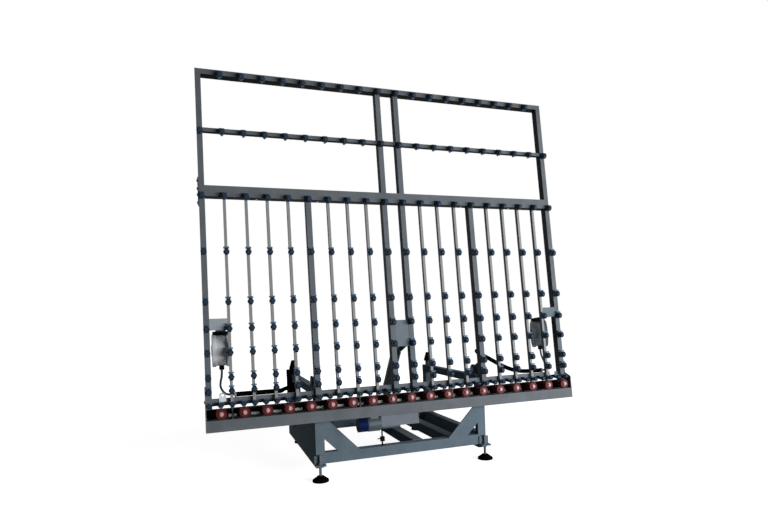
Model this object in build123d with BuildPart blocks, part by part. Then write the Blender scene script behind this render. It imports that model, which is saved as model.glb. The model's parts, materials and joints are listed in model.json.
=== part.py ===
import os
from math import cos, radians, sin, tan

from build123d import *

os.makedirs("parts", exist_ok=True)

# Rack: columns, lean and tubes
column_pitch = 150.0
column_count = 20
wide_columns = (0, 5, 9, 10, 14, 19)
tall_columns = (0, 9, 10, 19)
hinge_columns = (5, 14)
centre_columns = (9, 10)
lean = 5.5
post_width = 40.0
post_depth = 60.0
post_wall = 3.0
bar_width = 20.0
bar_depth = 30.0
bar_wall = 2.0
rail_height = 40.0
small_rail = 30.0
bottom_rail_height = 50.0
weld_gap = 0.4

# Heights along the rack, from the line where its front face would meet the floor
shelf_low = 446.0
middle_seam = 2114.0
upper_bar_height = 2560.0
rack_top = 3014.0

# Shelf under the driven rollers
shelf_height = 78.0
shelf_reach = 65.0
shelf_wall = 4.0
carrier_height = 70.0
slit_height = 20.0
end_plate_thickness = 6.0
end_plate_top = 750.0
end_plate_shoulder = 620.0
strap_rollers = (0, 6, 11, 17)
strap_width = 10.0
strap_thickness = 4.0
strap_forward = 19.0

# Driven rollers and their chain
roller_radius = 36.0
roller_length = 92.0
roller_start = 18.0
roller_lift = 5.0
roller_edge = 3.0
axle_radius = 10.0
sprocket_radius = 26.0
sprocket_start = 2.0
chain_thickness = 5.0
chain_width = 5.0
chain_gap = 0.3
chain_clear = 1.0
chain_apart = 2.0
running_fit = 0.05
washer_radius = 14.0
washer_thickness = 2.4
head_radius = 12.0
head_height = 8.0
axle_nut_radius = 16.0
axle_nut_height = 8.0
rest_block = (54.0, 16.0, 12.0)
rest_drop = 17.0

# Support wheels and their brackets
wheel_radius = 24.0
wheel_width = 28.0
wheel_forward = 28.0
wheel_edge = 4.0
wheel_row_heights = {
    "wheel_row_1": 1675.0,
    "wheel_row_2": 1322.0,
    "wheel_row_3": 1136.0,
    "wheel_row_4": 971.0,
    "wheel_row_5": 804.0,
    "wheel_row_6": 712.0,
}
top_row_drop = 44.0
upper_row_drop = 20.0
middle_row_drop = 42.0
bracket_width = 38.0
bracket_neck = 18.0
bracket_cap = 39.0
bracket_cap_height = 10.0
bracket_sheet = 3.0
bracket_above = 36.0
rail_bracket_above = 28.0
bracket_below = 22.0
cheek_height = 20.0
cap_reach = 24.0
wheel_pin_radius = 5.0
low_wheel_radius = 16.0
low_row_gap = 1.5
low_bracket_above = 21.0
low_bracket_below = 12.0
low_cheek_height = 14.0
low_wheel_edge = 3.0
standoff_width = 26.0

# Roller drive under the shelf
motor_radius = 50.0
motor_length = 103.0
motor_drop = 56.0
cap_radius = 52.0
cap_length = 70.0
cap_round = 8.0
motor_foot = (60.0, 70.0)
cover_left = -226.0
cover_right = 71.0
cover_drop = 82.0
cover_front = 34.0
cover_back = 62.0
cover_wall = 2.0
gearbox_inset = 6.0
gearbox_front = 4.0
drive_drop = 46.0
slot_margin = 4.0

# Rack plates and fasteners
splice_length = 200.0
splice_width = 40.0
splice_thickness = 6.0
splice_bolts = (22.0, 80.0)
frame_bolt_columns = (2.5, 5.5, 13.5, 16.5)
frame_bolt_radius = 6.0
frame_head_radius = 10.0
frame_head_height = 6.0
end_bolt_height = 645.0
centre_plate_lift = 2.0
centre_plate_height = 202.0
centre_plate_thickness = 8.0
centre_plate_recess = 2.0

# Tilt hinge
hinge_height = 732.0
hinge_back = 85.0
hinge_pin_radius = 15.0
hinge_hub_radius = 30.0
hinge_plate = 16.0
hinge_side_gap = 4.0
hinge_lug = 12.0
hinge_lug_radius = 40.0
hinge_lug_rise = 43.0
hinge_foot_below = 40.0
hinge_foot_above = 60.0
pin_collar_radius = 20.0
pin_collar = 5.0

# Base frame
base_overhang = 24.0
base_setback = 118.0
base_length = 1297.0
front_plate = 10.0
front_plate_low = 116.0
front_bar_height = 77.0
gusset_top = 440.0
gusset_width = 89.0
gusset_run = 244.0
cutout_inset = 67.0
cutout_size = 98.0
cutout_lift = 3.0
side_tube = 60.0
side_low = 86.0
side_height = 120.0
base_wall = 4.0
upper_beam_height = 60.0
leg_width = 60.0
leg_depth = 50.0
front_beam_depth = 60.0
rear_post_size = 80.0
rear_post_rise = 2.0
rear_post_inset = 175.0
rear_cross_inset = 103.0
rear_cross_depth = 50.0
inner_rail_places = (132.0, 425.0)
inner_rail_size = 80.0
side_panel = 8.0
side_panel_length = 822.0
side_panel_height = 314.0

# Rubber stops under the tilted rack
stop_gap = 0.5
stop_radius = 35.0
stop_tip_radius = 14.0
stop_height = 84.0
stop_rim = 12.0
spindle_radius = 22.0

# Levelling feet
front_foot_inset = 24.0
foot_forward = 23.0
rear_foot_inset = 39.0
rear_foot_back = 62.0
pad_radius = 60.0
pad_rim = 12.0
pad_height = 40.0
pad_neck = 22.0
foot_screw_radius = 10.0
foot_screw_length = 150.0
foot_nut_radius = 17.0
foot_nut_height = 14.0
foot_bracket_width = 80.0
foot_bracket_reach = 56.0
foot_bracket_height = 70.0
foot_bracket_sheet = 10.0
front_bracket_drop = 6.0

# Tilt cylinder between the rack and the base
cylinder_rise = 216.0
cylinder_out = -140.0
cylinder_foot_back = 743.0
cylinder_foot_height = 282.0
barrel_radius = 40.0
barrel_bore = 34.0
barrel_start = 45.0
barrel_end = 500.0
gland_length = 15.0
piston_length = 25.0
piston_gap = 5.0
piston_fit = 0.3
rod_radius = 20.0
eye_radius = 28.0
eye_width = 40.0
eye_side_gap = 4.0
clevis = 12.0
clevis_pin_radius = 12.0
clevis_radius = 32.0
clevis_head = 6.0
mount_plate = 20.0
mount_length = 120.0
mount_left = -50.0

# Hose reels, hoses and conduits
reel_inset = 115.0
reel_swivels = (0.0, -28.0)
reel_radius = 115.0
reel_drum_radius = 108.0
reel_width = 124.0
reel_flange = 26.0
reel_height = 996.0
reel_behind = 150.0
reel_boss_radius = 40.0
reel_boss = 4.0
reel_mount = (112.0, 60.0)
reel_outlet = (34.0, 40.0)
reel_outlet_drop = 138.0
reel_bracket_rise = 134.0
reel_bracket_height = 80.0
reel_bracket_sheet = 6.0
reel_shelf_width = 70.0
reel_shelf_past = 40.0
holder_inset = 110.0
holder_width = 46.0
holder_height = 63.0
holder_lift = 26.0
holder_sheet = 6.0
holder_hole_radius = 9.0
holder_hole_height = 44.0
hose_radius = 8.0
bend_share = 0.45
conduit_radius = 17.0
conduit_behind = 52.0
conduit_inset = 190.0
gland_wall = 2.0
gland_reach = 12.0
boot_wall = 14.0
boot_drop = 200.0
boot_rise = 38.0
boot_entry_drop = 88.0
cord_gap = 0.3

# Limit switch on the base
switch_place = -186.0
switch_rod_radius = 6.0
switch_rod_height = 157.0
switch_box = (30.0, 26.0, 34.0)
switch_box_lift = 40.0
switch_lever = 24.0
lever_sheet = 3.0

# Sizes that follow from the ones above
shelf_top = shelf_low + shelf_height
carrier_top = shelf_top + carrier_height
bottom_rail_low = carrier_top + slit_height
bottom_rail_top = bottom_rail_low + bottom_rail_height
roller_height = shelf_top + roller_lift + roller_radius
roller_front = roller_start + roller_length
washer_start = roller_front + chain_gap
head_start = washer_start + washer_thickness
head_front = head_start + head_height
drive_height = shelf_low - drive_drop
half_rack = (column_count - 1) / 2 * column_pitch + post_width / 2
base_half_width = (hinge_columns[1] - (column_count - 1) / 2) * column_pitch + base_overhang
side_inner = base_half_width - side_tube
side_middle = base_half_width - side_tube / 2
rear_post_at = base_half_width - base_overhang
side_top = side_low + side_height
front_bar_top = front_plate_low + front_bar_height
lean_sin = sin(radians(lean))
lean_cos = cos(radians(lean))
hinge_level = hinge_height * lean_cos - (post_depth + hinge_back) * lean_sin
upper_beam_top = hinge_level - hinge_lug_rise
upper_beam_low = upper_beam_top - upper_beam_height
rear_post_top = upper_beam_top + rear_post_rise
cylinder_height = hinge_height + cylinder_rise
centre_plate_low = cylinder_height + centre_plate_lift

# The origin lies on the floor under the middle of the whole trolley
front_reach = head_front * lean_cos - (roller_height - head_radius) * lean_sin
rear_reach = base_setback + base_length
rack_line = (front_reach - rear_reach) / 2
base_front = rack_line + base_setback
base_rear = base_front + base_length
leg_front = base_front + front_plate
leg_back = leg_front + leg_depth
front_beam_back = leg_front + front_beam_depth
rear_post_back = base_rear - rear_post_inset
rear_post_front = rear_post_back - rear_post_size
rear_cross_back = base_rear - rear_cross_inset
rear_cross_front = rear_cross_back - rear_cross_depth

# Local axes of the rack plane: x along the shelf, y up the rack, z out of its front face
rack = Plane(origin=(0, rack_line, 0), x_dir=(1, 0, 0), z_dir=(0, -lean_cos, lean_sin))


def rack_point(along, up, out):
    return rack.from_local_coords(Vector(along, up, out))


def rack_section(along):
    # A plane across the rack: x up the rack, y out of its front face
    return Plane(origin=rack_point(along, 0, 0), x_dir=rack.y_dir, z_dir=rack.x_dir)


def column_at(index):
    return (index - (column_count - 1) / 2) * column_pitch


def mirrored(value):
    return (-value, value)


def ordered(a, b):
    return (min(a, b), max(a, b))


def block(x, y, z, mode=Mode.ADD):
    # A box from three spans in the axes of the open builder
    with Locations(((x[0] + x[1]) / 2, (y[0] + y[1]) / 2, (z[0] + z[1]) / 2)):
        Box(x[1] - x[0], y[1] - y[0], z[1] - z[0], mode=mode)


def tube(x, y, z, wall, along):
    # A rectangular tube, open at both ends
    block(x, y, z)
    spans = {"x": x, "y": y, "z": z}
    for axis, (low, high) in spans.items():
        if axis != along:
            spans[axis] = (low + wall, high - wall)
    block(spans["x"], spans["y"], spans["z"], mode=Mode.SUBTRACT)


def bend_radii(points):
    # The largest arc that each corner of a hose leaves room for
    radii = []
    for before, corner, after in zip(points, points[1:], points[2:]):
        first = corner - before
        second = after - corner
        turn = radians(first.get_angle(second))
        radii.append(bend_share * min(first.length, second.length) / tan(turn / 2))
    return radii


def sweep_hose(points, radius):
    # A round hose along straight runs joined by tangent arcs
    radii = bend_radii(points)
    with BuildLine() as route:
        FilletPolyline(*points, radius=radii)
    path = route.wire()
    with BuildSketch(Plane(origin=path @ 0, z_dir=path % 0)) as section:
        Circle(radius)
    sweep(sections=section.sketch, path=path)
    print("hose length", round(path.length), "least radius", round(min(radii)))


def save(part, name):
    part.label = name
    export_step(part, f"parts/{name}.step")


# Posts of the lower frame and of the upper extension
with BuildPart(rack) as rack_posts:
    for index in wide_columns:
        place = column_at(index)
        sides = (place - post_width / 2, place + post_width / 2)
        tube(sides, (carrier_top, middle_seam - rail_height), (-post_depth, 0), post_wall, "y")
        if index in tall_columns:
            upper_span = (middle_seam + rail_height, rack_top - rail_height)
            tube(sides, upper_span, (-post_depth, 0), post_wall, "y")
save(rack_posts.part, "rack_posts")

# Thin upright bars between the posts
with BuildPart(rack) as slat_bars:
    for index in range(column_count):
        if index not in wide_columns:
            place = column_at(index)
            sides = (place - bar_width / 2, place + bar_width / 2)
            tube(sides, (carrier_top, middle_seam - rail_height), (-bar_depth, 0), bar_wall, "y")
save(slat_bars.part, "slat_bars")

# Top rail, the two bolted middle rails, the bottom rail and the bar of the upper wheel row
with BuildPart(rack) as rack_rails:
    full_width = mirrored(half_rack)
    whole_depth = (-post_depth, 0)
    tube(full_width, (rack_top - rail_height, rack_top), whole_depth, post_wall, "x")
    tube(full_width, (middle_seam - rail_height, middle_seam - weld_gap / 2), whole_depth, post_wall, "x")
    tube(full_width, (middle_seam + weld_gap / 2, middle_seam + rail_height), whole_depth, post_wall, "x")
    for first, last in zip(wide_columns, wide_columns[1:]):
        between = (column_at(first) + post_width / 2, column_at(last) - post_width / 2)
        tube(between, (bottom_rail_low, bottom_rail_top), (-post_depth, -bar_depth), bar_wall, "x")
    for first, last in zip(tall_columns, tall_columns[1:]):
        between = (column_at(first) + post_width / 2, column_at(last) - post_width / 2)
        bar_span = (upper_bar_height - small_rail / 2, upper_bar_height + small_rail / 2)
        tube(between, bar_span, (-small_rail, 0), bar_wall, "x")
    with Locations(*[(column_at(index), middle_seam, -post_depth / 2) for index in frame_bolt_columns]):
        Cylinder(frame_bolt_radius, 2 * rail_height, rotation=(90, 0, 0), mode=Mode.SUBTRACT)
save(rack_rails.part, "rack_rails")

# Shelf beam, roller carrier, end plates and chain straps
rollers = [column_at(index + 0.5) for index in range(column_count - 1)]
drive_roller = rollers[len(rollers) // 2]
with BuildPart(rack) as shelf_beams:
    tube(full_width, (shelf_low, shelf_top - weld_gap), (-post_depth, shelf_reach), shelf_wall, "x")
    loop_half = sprocket_radius + chain_gap + chain_thickness + slot_margin
    slot_depth = (sprocket_start + chain_width, roller_start)
    slot_sides = (drive_roller - loop_half, drive_roller + loop_half)
    block(slot_sides, (shelf_low, shelf_top), slot_depth, mode=Mode.SUBTRACT)
    tube(full_width, (shelf_top, carrier_top), (-post_depth, 0), shelf_wall, "x")
    with Locations(*[(place, roller_height, -post_depth / 2) for place in rollers]):
        Cylinder(axle_radius, post_depth, mode=Mode.SUBTRACT)
    for side in (-1, 1):
        with BuildSketch(rack_section(side * (half_rack + weld_gap))):
            with BuildLine():
                Polyline(
                    (shelf_low, -post_depth),
                    (shelf_low, shelf_reach),
                    (end_plate_shoulder, shelf_reach),
                    (end_plate_shoulder + shelf_reach / 2, 0),
                    (end_plate_top, 0),
                    (end_plate_top, -post_depth),
                    close=True,
                )
            make_face()
        extrude(amount=side * end_plate_thickness)
    for index in strap_rollers:
        strap_middle = rollers[index] + column_pitch / 2
        strap_sides = (strap_middle - strap_width / 2, strap_middle + strap_width / 2)
        block(strap_sides, (shelf_top, carrier_top), (strap_forward, strap_forward + strap_thickness))
save(shelf_beams.part, "shelf_beams")

# One roller axle with its nut, washer and bolt head, and one through-bolt of the middle rails
with BuildPart() as roller_axle:
    with BuildSketch(Plane.XY.offset(-post_depth)):
        Circle(axle_radius)
    extrude(amount=post_depth + washer_start)
    with BuildSketch(Plane.XY.offset(-post_depth)):
        RegularPolygon(axle_nut_radius, 6)
    extrude(amount=-axle_nut_height)
    with BuildSketch(Plane.XY.offset(washer_start)):
        Circle(washer_radius)
    extrude(amount=washer_thickness)
    with BuildSketch(Plane.XY.offset(head_start)):
        RegularPolygon(head_radius, 6)
    extrude(amount=head_height)
with BuildPart() as frame_bolt:
    with BuildSketch(Plane.XZ.offset(-rail_height)):
        Circle(frame_bolt_radius)
    extrude(amount=2 * rail_height)
    with BuildSketch(Plane.XZ.offset(-rail_height)):
        RegularPolygon(frame_head_radius, 6)
    extrude(amount=-frame_head_height)
    with BuildSketch(Plane.XZ.offset(rail_height)):
        RegularPolygon(frame_head_radius, 6)
    extrude(amount=frame_head_height)

# All fasteners of the rack: axles, chain rest blocks, bolts, the upper cylinder pin and the conduit glands
clevis_half = eye_width / 2 + eye_side_gap + clevis
conduit_start = half_rack - conduit_inset
conduit_height = bottom_rail_top + gland_wall + conduit_radius
with BuildPart(rack) as axles_and_bolts:
    with Locations(*[(place, roller_height, 0) for place in rollers]):
        add(roller_axle.part)
    rest_height = roller_height - rest_drop
    with Locations(*[(place + column_pitch / 2, rest_height, rest_block[2] / 2) for place in rollers[:-1]]):
        Box(*rest_block)
    with Locations(*[(column_at(index), middle_seam, -post_depth / 2) for index in frame_bolt_columns]):
        add(frame_bolt.part)
    for side in (-1, 1):
        with BuildSketch(rack_section(side * (half_rack + splice_thickness))):
            for drop in splice_bolts:
                for end in (-1, 1):
                    with Locations((middle_seam + end * drop, -post_depth / 2)):
                        RegularPolygon(frame_head_radius, 6)
        extrude(amount=side * frame_head_height)
        with BuildSketch(rack_section(side * (half_rack + weld_gap + end_plate_thickness))):
            with Locations((end_bolt_height, -post_depth / 2)):
                RegularPolygon(frame_head_radius, 6)
        extrude(amount=side * frame_head_height)
        with BuildSketch(rack_section(side * conduit_start)):
            with Locations((conduit_height, -conduit_behind)):
                Circle(conduit_radius + gland_wall)
                Circle(conduit_radius + cord_gap, mode=Mode.SUBTRACT)
        extrude(amount=-side * gland_reach)
    with BuildSketch(rack_section(-clevis_half)):
        with Locations((cylinder_height, cylinder_out)):
            Circle(clevis_pin_radius)
    extrude(amount=2 * clevis_half)
    for side in (-1, 1):
        with BuildSketch(rack_section(side * clevis_half)):
            with Locations((cylinder_height, cylinder_out)):
                Circle(clevis_pin_radius + clevis_head)
        extrude(amount=side * clevis_head)
save(axles_and_bolts.part, "axles_and_bolts")

# Driven rollers: a soft tread with the chain sprocket at its back
for number, place in enumerate(rollers, start=1):
    with BuildPart(rack) as roller:
        with BuildSketch(rack.offset(sprocket_start)):
            with Locations((place, roller_height)):
                Circle(sprocket_radius)
                Circle(axle_radius + running_fit, mode=Mode.SUBTRACT)
        extrude(amount=roller_start - sprocket_start)
        with BuildSketch(rack.offset(roller_start)):
            with Locations((place, roller_height)):
                Circle(roller_radius)
                Circle(axle_radius + running_fit, mode=Mode.SUBTRACT)
        extrude(amount=roller_length)
        rims = roller.edges().filter_by(lambda edge: edge.geom_type == GeomType.CIRCLE)
        chamfer(rims.filter_by(lambda edge: abs(edge.radius - roller_radius) < running_fit), roller_edge)
    save(roller.part, f"drive_roller_{number:02d}")

# Long chain round all the roller sprockets, and the short chain down to the gearbox
chain_inner = sprocket_radius + chain_gap
chain_outer = chain_inner + chain_thickness
chain_start = sprocket_start + chain_clear
short_start = chain_start + chain_width + chain_apart
with BuildPart(rack) as drive_chain:
    with BuildSketch(rack.offset(chain_start)):
        with Locations((drive_roller, roller_height)):
            SlotCenterToCenter(rollers[-1] - rollers[0], 2 * chain_outer)
            SlotCenterToCenter(rollers[-1] - rollers[0], 2 * chain_inner, mode=Mode.SUBTRACT)
    extrude(amount=chain_width)
    with BuildSketch(rack.offset(short_start)):
        with Locations((drive_roller, (roller_height + drive_height) / 2)):
            SlotCenterToCenter(roller_height - drive_height, 2 * chain_outer, rotation=90)
            SlotCenterToCenter(roller_height - drive_height, 2 * chain_inner, rotation=90, mode=Mode.SUBTRACT)
    extrude(amount=chain_width)
save(drive_chain.part, "drive_chain")

# Gearbox sprocket with its shaft
with BuildPart(rack) as drive_sprocket:
    with BuildSketch(rack.offset(gearbox_front + chain_gap)):
        with Locations((drive_roller, drive_height)):
            Circle(axle_radius)
    extrude(amount=short_start - gearbox_front)
    with BuildSketch(rack.offset(short_start)):
        with Locations((drive_roller, drive_height)):
            Circle(sprocket_radius)
    extrude(amount=chain_width)
save(drive_sprocket.part, "drive_sprocket")

# Drive motor with its foot, and the gearbox behind the cover
motor_height = shelf_low - motor_drop
with BuildPart(rack) as drive_motor:
    with BuildSketch(rack_section(cover_left)):
        with Locations((motor_height, 0)):
            Circle(motor_radius)
    extrude(amount=-motor_length)
    motor_middle = cover_left - motor_length / 2
    foot_sides = (motor_middle - motor_foot[0] / 2, motor_middle + motor_foot[0] / 2)
    block(foot_sides, (motor_height, shelf_low), mirrored(motor_foot[1] / 2))
    gearbox_sides = (cover_left + cover_wall, drive_roller + sprocket_radius)
    gearbox_span = (shelf_low - cover_drop + gearbox_inset, shelf_low)
    block(gearbox_sides, gearbox_span, (gearbox_inset - cover_back, gearbox_front))
save(drive_motor.part, "drive_motor")

# Fan cap at the free end of the motor
with BuildPart(rack) as motor_cap:
    with BuildSketch(rack_section(cover_left - motor_length)):
        with Locations((motor_height, 0)):
            Circle(cap_radius)
    extrude(amount=-cap_length)
    rims = motor_cap.edges().filter_by(GeomType.CIRCLE).group_by(Axis.X)[0]
    fillet(rims, cap_round)
save(motor_cap.part, "motor_cap")

# Sheet cover over the gearbox and the short chain, open towards the shelf
with BuildPart(rack) as chain_cover:
    cover_span = (shelf_low - cover_drop, shelf_low)
    block((cover_left, cover_right), cover_span, (-cover_back, cover_front))
    inner_sides = (cover_left + cover_wall, cover_right - cover_wall)
    inner_depth = (cover_wall - cover_back, cover_front - cover_wall)
    block(inner_sides, (cover_span[0] + cover_wall, shelf_low), inner_depth, mode=Mode.SUBTRACT)
save(chain_cover.part, "chain_cover")

# Rows of support wheels, each row on one line along the rack; the top row leaves the corners free
# and the lowest row is smaller
columns = [column_at(index) for index in range(column_count)]
low_row = roller_height + roller_radius + low_row_gap + low_wheel_radius
low_forward = wheel_forward + wheel_radius - low_wheel_radius
top_height = rack_top - top_row_drop
rail_row_heights = {
    "wheel_row_upper": upper_bar_height - upper_row_drop,
    "wheel_row_middle": middle_seam - middle_row_drop,
}


def wheel_line(places, height, forward, radius, edge_size):
    with Locations(*[(place, height, forward) for place in places]):
        Cylinder(radius, wheel_width, rotation=(0, 90, 0))
        Cylinder(wheel_pin_radius + running_fit, wheel_width, rotation=(0, 90, 0), mode=Mode.SUBTRACT)
    rims = edges().filter_by(lambda edge: edge.geom_type == GeomType.CIRCLE)
    chamfer(rims.filter_by(lambda edge: edge.radius > radius - running_fit), edge_size)


with BuildPart(rack) as top_wheel_row:
    wheel_line(columns[1:-1], top_height, wheel_forward, wheel_radius, wheel_edge)
save(top_wheel_row.part, "wheel_row_top")
for name, height in {**rail_row_heights, **wheel_row_heights}.items():
    with BuildPart(rack) as wheel_row:
        wheel_line(columns, height, wheel_forward, wheel_radius, wheel_edge)
    save(wheel_row.part, name)
with BuildPart(rack) as low_wheel_row:
    wheel_line(sorted(columns + rollers), low_row, low_forward, low_wheel_radius, low_wheel_edge)
save(low_wheel_row.part, "wheel_row_bottom")


def wheel_holder(forward, above, below, cheek, cap):
    # A neck with a cross plate, two cheeks, a cap above the wheel and the wheel pin
    half = bracket_width / 2
    block(mirrored(bracket_neck / 2), (-below, above), (0, bracket_sheet))
    block(mirrored(half), mirrored(cheek / 2), (0, bracket_sheet))
    block(mirrored(bracket_cap / 2), (above - cap, above), (0, cap_reach))
    for side in (-1, 1):
        cheek_sides = ordered(side * half, side * (half - bracket_sheet))
        block(cheek_sides, mirrored(cheek / 2), (0, forward + 2 * wheel_pin_radius))
    with Locations((0, 0, forward)):
        Cylinder(wheel_pin_radius, bracket_width, rotation=(0, 90, 0))


# Wheel brackets; those on the rails have a thin cap, and those of the lowest row between the columns
# stand off from the bottom rail
with BuildPart() as wheel_bracket:
    wheel_holder(wheel_forward, bracket_above, bracket_below, cheek_height, bracket_cap_height)
with BuildPart() as rail_bracket:
    wheel_holder(wheel_forward, rail_bracket_above, bracket_below, cheek_height, bracket_sheet)
with BuildPart() as low_bracket:
    wheel_holder(low_forward, low_bracket_above, low_bracket_below, low_cheek_height, bracket_sheet)
with BuildPart() as standoff_bracket:
    add(low_bracket.part)
    standoff = (bottom_rail_low - low_row, low_bracket_above)
    block(mirrored(standoff_width / 2), standoff, (-bar_depth, 0))
with BuildPart(rack) as wheel_brackets:
    with Locations(*[(place, height, 0) for height in wheel_row_heights.values() for place in columns]):
        add(wheel_bracket.part, clean=False)
    with Locations(*[(place, height, 0) for height in rail_row_heights.values() for place in columns]):
        add(rail_bracket.part, clean=False)
    with Locations(*[(place, top_height, 0) for place in columns[1:-1]]):
        add(rail_bracket.part, clean=False)
    with Locations(*[(place, low_row, 0) for place in columns]):
        add(low_bracket.part, clean=False)
    with Locations(*[(place, low_row, 0) for place in rollers]):
        add(standoff_bracket.part, clean=False)
save(wheel_brackets.part, "wheel_brackets")

# Plates of the rack: splices, centre plate with clevis, hinge plates and reel brackets
with BuildPart(rack) as rack_plates:
    for side in (-1, 1):
        splice_sides = ordered(side * half_rack, side * (half_rack + splice_thickness))
        splice_span = (middle_seam - splice_length / 2, middle_seam + splice_length / 2)
        splice_depth = (-(post_depth + splice_width) / 2, -(post_depth - splice_width) / 2)
        block(splice_sides, splice_span, splice_depth)
    plate_half = column_at(centre_columns[1]) - post_width / 2
    plate_span = (centre_plate_low, centre_plate_low + centre_plate_height)
    plate_back = -centre_plate_recess - centre_plate_thickness
    block(mirrored(plate_half), plate_span, (plate_back, -centre_plate_recess))
    for side in (-1, 1):
        clevis_inner = side * (eye_width / 2 + eye_side_gap)
        with BuildSketch(rack_section(clevis_inner)):
            with BuildLine():
                Polyline(
                    (centre_plate_low, plate_back - weld_gap),
                    (cylinder_height - clevis_radius, cylinder_out),
                    (cylinder_height + clevis_radius, cylinder_out),
                    (centre_plate_low + centre_plate_height, plate_back - weld_gap),
                    close=True,
                )
            make_face()
            with Locations((cylinder_height, cylinder_out)):
                Circle(clevis_radius)
                Circle(clevis_pin_radius, mode=Mode.SUBTRACT)
        extrude(amount=side * clevis)
    for index in hinge_columns:
        with BuildSketch(rack_section(column_at(index) - hinge_plate / 2)):
            with BuildLine():
                Polyline(
                    (hinge_height - hinge_foot_below, -post_depth),
                    (hinge_height - hinge_hub_radius, -post_depth - hinge_back),
                    (hinge_height + hinge_hub_radius, -post_depth - hinge_back),
                    (hinge_height + hinge_foot_above, -post_depth),
                    close=True,
                )
            make_face()
            with Locations((hinge_height, -post_depth - hinge_back)):
                Circle(hinge_hub_radius)
                Circle(hinge_pin_radius + running_fit, mode=Mode.SUBTRACT)
        extrude(amount=hinge_plate)
    for side in (-1, 1):
        reel_place = side * (half_rack - reel_inset)
        post_face = side * (columns[-1] - post_width / 2)
        bar_face = side * (columns[-2] + bar_width / 2)
        reel_bracket_low = reel_height + reel_bracket_rise
        bracket_span = (reel_bracket_low, reel_bracket_low + reel_bracket_height)
        block(ordered(post_face, bar_face), bracket_span, (-reel_bracket_sheet, 0))
        shelf_sides = (reel_place - reel_shelf_width / 2, reel_place + reel_shelf_width / 2)
        shelf_span = (reel_bracket_low, reel_bracket_low + reel_bracket_sheet)
        block(shelf_sides, shelf_span, (-reel_behind - reel_shelf_past, -reel_bracket_sheet))
save(rack_plates.part, "rack_plates")

# Spring hose reels hung behind the two outer columns at each end, the right one swivelled
with BuildPart() as hose_reels:
    for side, swivel in zip((-1, 1), reel_swivels):
        reel_centre = rack_point(side * (half_rack - reel_inset), reel_height, -reel_behind)
        axle = rack.x_dir.rotate(Axis((0, 0, 0), rack.y_dir), swivel)
        with Locations(Plane(origin=reel_centre, x_dir=axle, z_dir=rack.y_dir)):
            Cylinder(reel_drum_radius, reel_width, rotation=(0, 90, 0))
            Cylinder(reel_boss_radius, reel_width + 2 * reel_boss, rotation=(0, 90, 0))
            with Locations(*[(shift, 0, 0) for shift in mirrored((reel_width - reel_flange) / 2)]):
                Cylinder(reel_radius, reel_flange, rotation=(0, 90, 0))
            with Locations((0, 0, reel_bracket_rise / 2)):
                Box(*reel_mount, reel_bracket_rise)
            with Locations((0, 0, -reel_outlet_drop / 2)):
                Box(reel_outlet[0], reel_outlet[1], reel_outlet_drop)
save(hose_reels.part, "hose_reels")

# Holders for the hose ends, on the front of the bottom rail
holder_low = bottom_rail_low + holder_lift
with BuildPart(rack) as hose_holders:
    for place in mirrored(half_rack - holder_inset):
        with BuildSketch(rack.offset(-bar_depth)):
            with Locations((place, holder_low + (holder_height - holder_width / 2) / 2)):
                Rectangle(holder_width, holder_height - holder_width / 2)
            with Locations((place, holder_low + holder_height - holder_width / 2)):
                Circle(holder_width / 2)
            with Locations((place, holder_low + holder_hole_height)):
                Circle(holder_hole_radius, mode=Mode.SUBTRACT)
        extrude(amount=holder_sheet)
save(hose_holders.part, "hose_holders")

# Hoses that hang from the reels and run into the conduits: across, up and out on the left side
reel_at = half_rack - reel_inset
outlet_low = reel_height - reel_outlet_drop
hose_points = [
    (-reel_at, outlet_low - cord_gap, -reel_behind),
    (-reel_at - 1, outlet_low - 43, -reel_behind),
    (-reel_at - 12, outlet_low - 83, 7 - reel_behind),
    (-reel_at - 15, conduit_height + 57, 24 - reel_behind),
    (-reel_at, conduit_height + 25, 50 - reel_behind),
    (-conduit_start - gland_reach - 37, conduit_height, -conduit_behind),
    (-conduit_start - cord_gap, conduit_height, -conduit_behind),
]
for side, name in ((1, "hose_left"), (-1, "hose_right")):
    with BuildPart() as hose:
        sweep_hose([rack_point(side * u, v, n) for u, v, n in hose_points], hose_radius)
    save(hose.part, name)

# Right conduit, along the bottom rail and up to the back of a post: across, up and out
post_at = column_at(hinge_columns[1])
conduit_right_points = [
    (conduit_start, conduit_height, -conduit_behind),
    (conduit_start - 115, conduit_height, -conduit_behind),
    (post_at + 370, conduit_height + 5, -conduit_behind - 2),
    (post_at + 290, conduit_height + 25, -conduit_behind - 14),
    (post_at + 208, conduit_height + 69, -conduit_behind - 40),
    (post_at + 123, conduit_height + 135, -post_depth - 78),
    (post_at, conduit_height + 201, -post_depth - 78),
    (post_at, conduit_height + 201, -post_depth - cord_gap),
]
with BuildPart() as conduit_right:
    sweep_hose([rack_point(u, v, n) for u, v, n in conduit_right_points], conduit_radius)
save(conduit_right.part, "conduit_right")

# Left conduit, along the bottom rail and back to a boot on the rear post: across, back and up
boot_half = rear_post_size / 2 + boot_wall
boot_face = (rear_post_front + rear_post_back) / 2 - boot_half
entry_up = upper_beam_top - boot_entry_drop
conduit_left_points = [
    rack_point(-conduit_start, conduit_height, -conduit_behind),
    rack_point(-conduit_start + 125, conduit_height, -conduit_behind),
    rack_point(-side_middle - 330, conduit_height, -conduit_behind - 1),
    Vector(-side_middle - 261, boot_face - 965, entry_up + 82),
    Vector(-side_middle - 224, boot_face - 775, entry_up + 59),
    Vector(-side_middle - 187, boot_face - 555, entry_up + 35),
    Vector(-side_middle - 126, boot_face - 325, entry_up + 14),
    Vector(-side_middle - 43, boot_face - 155, entry_up + 3),
    Vector(-side_middle - 5, boot_face - 70, entry_up),
    Vector(-side_middle - 5, boot_face - cord_gap, entry_up),
]
with BuildPart() as conduit_left:
    sweep_hose(conduit_left_points, conduit_radius)
save(conduit_left.part, "conduit_left")

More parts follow.
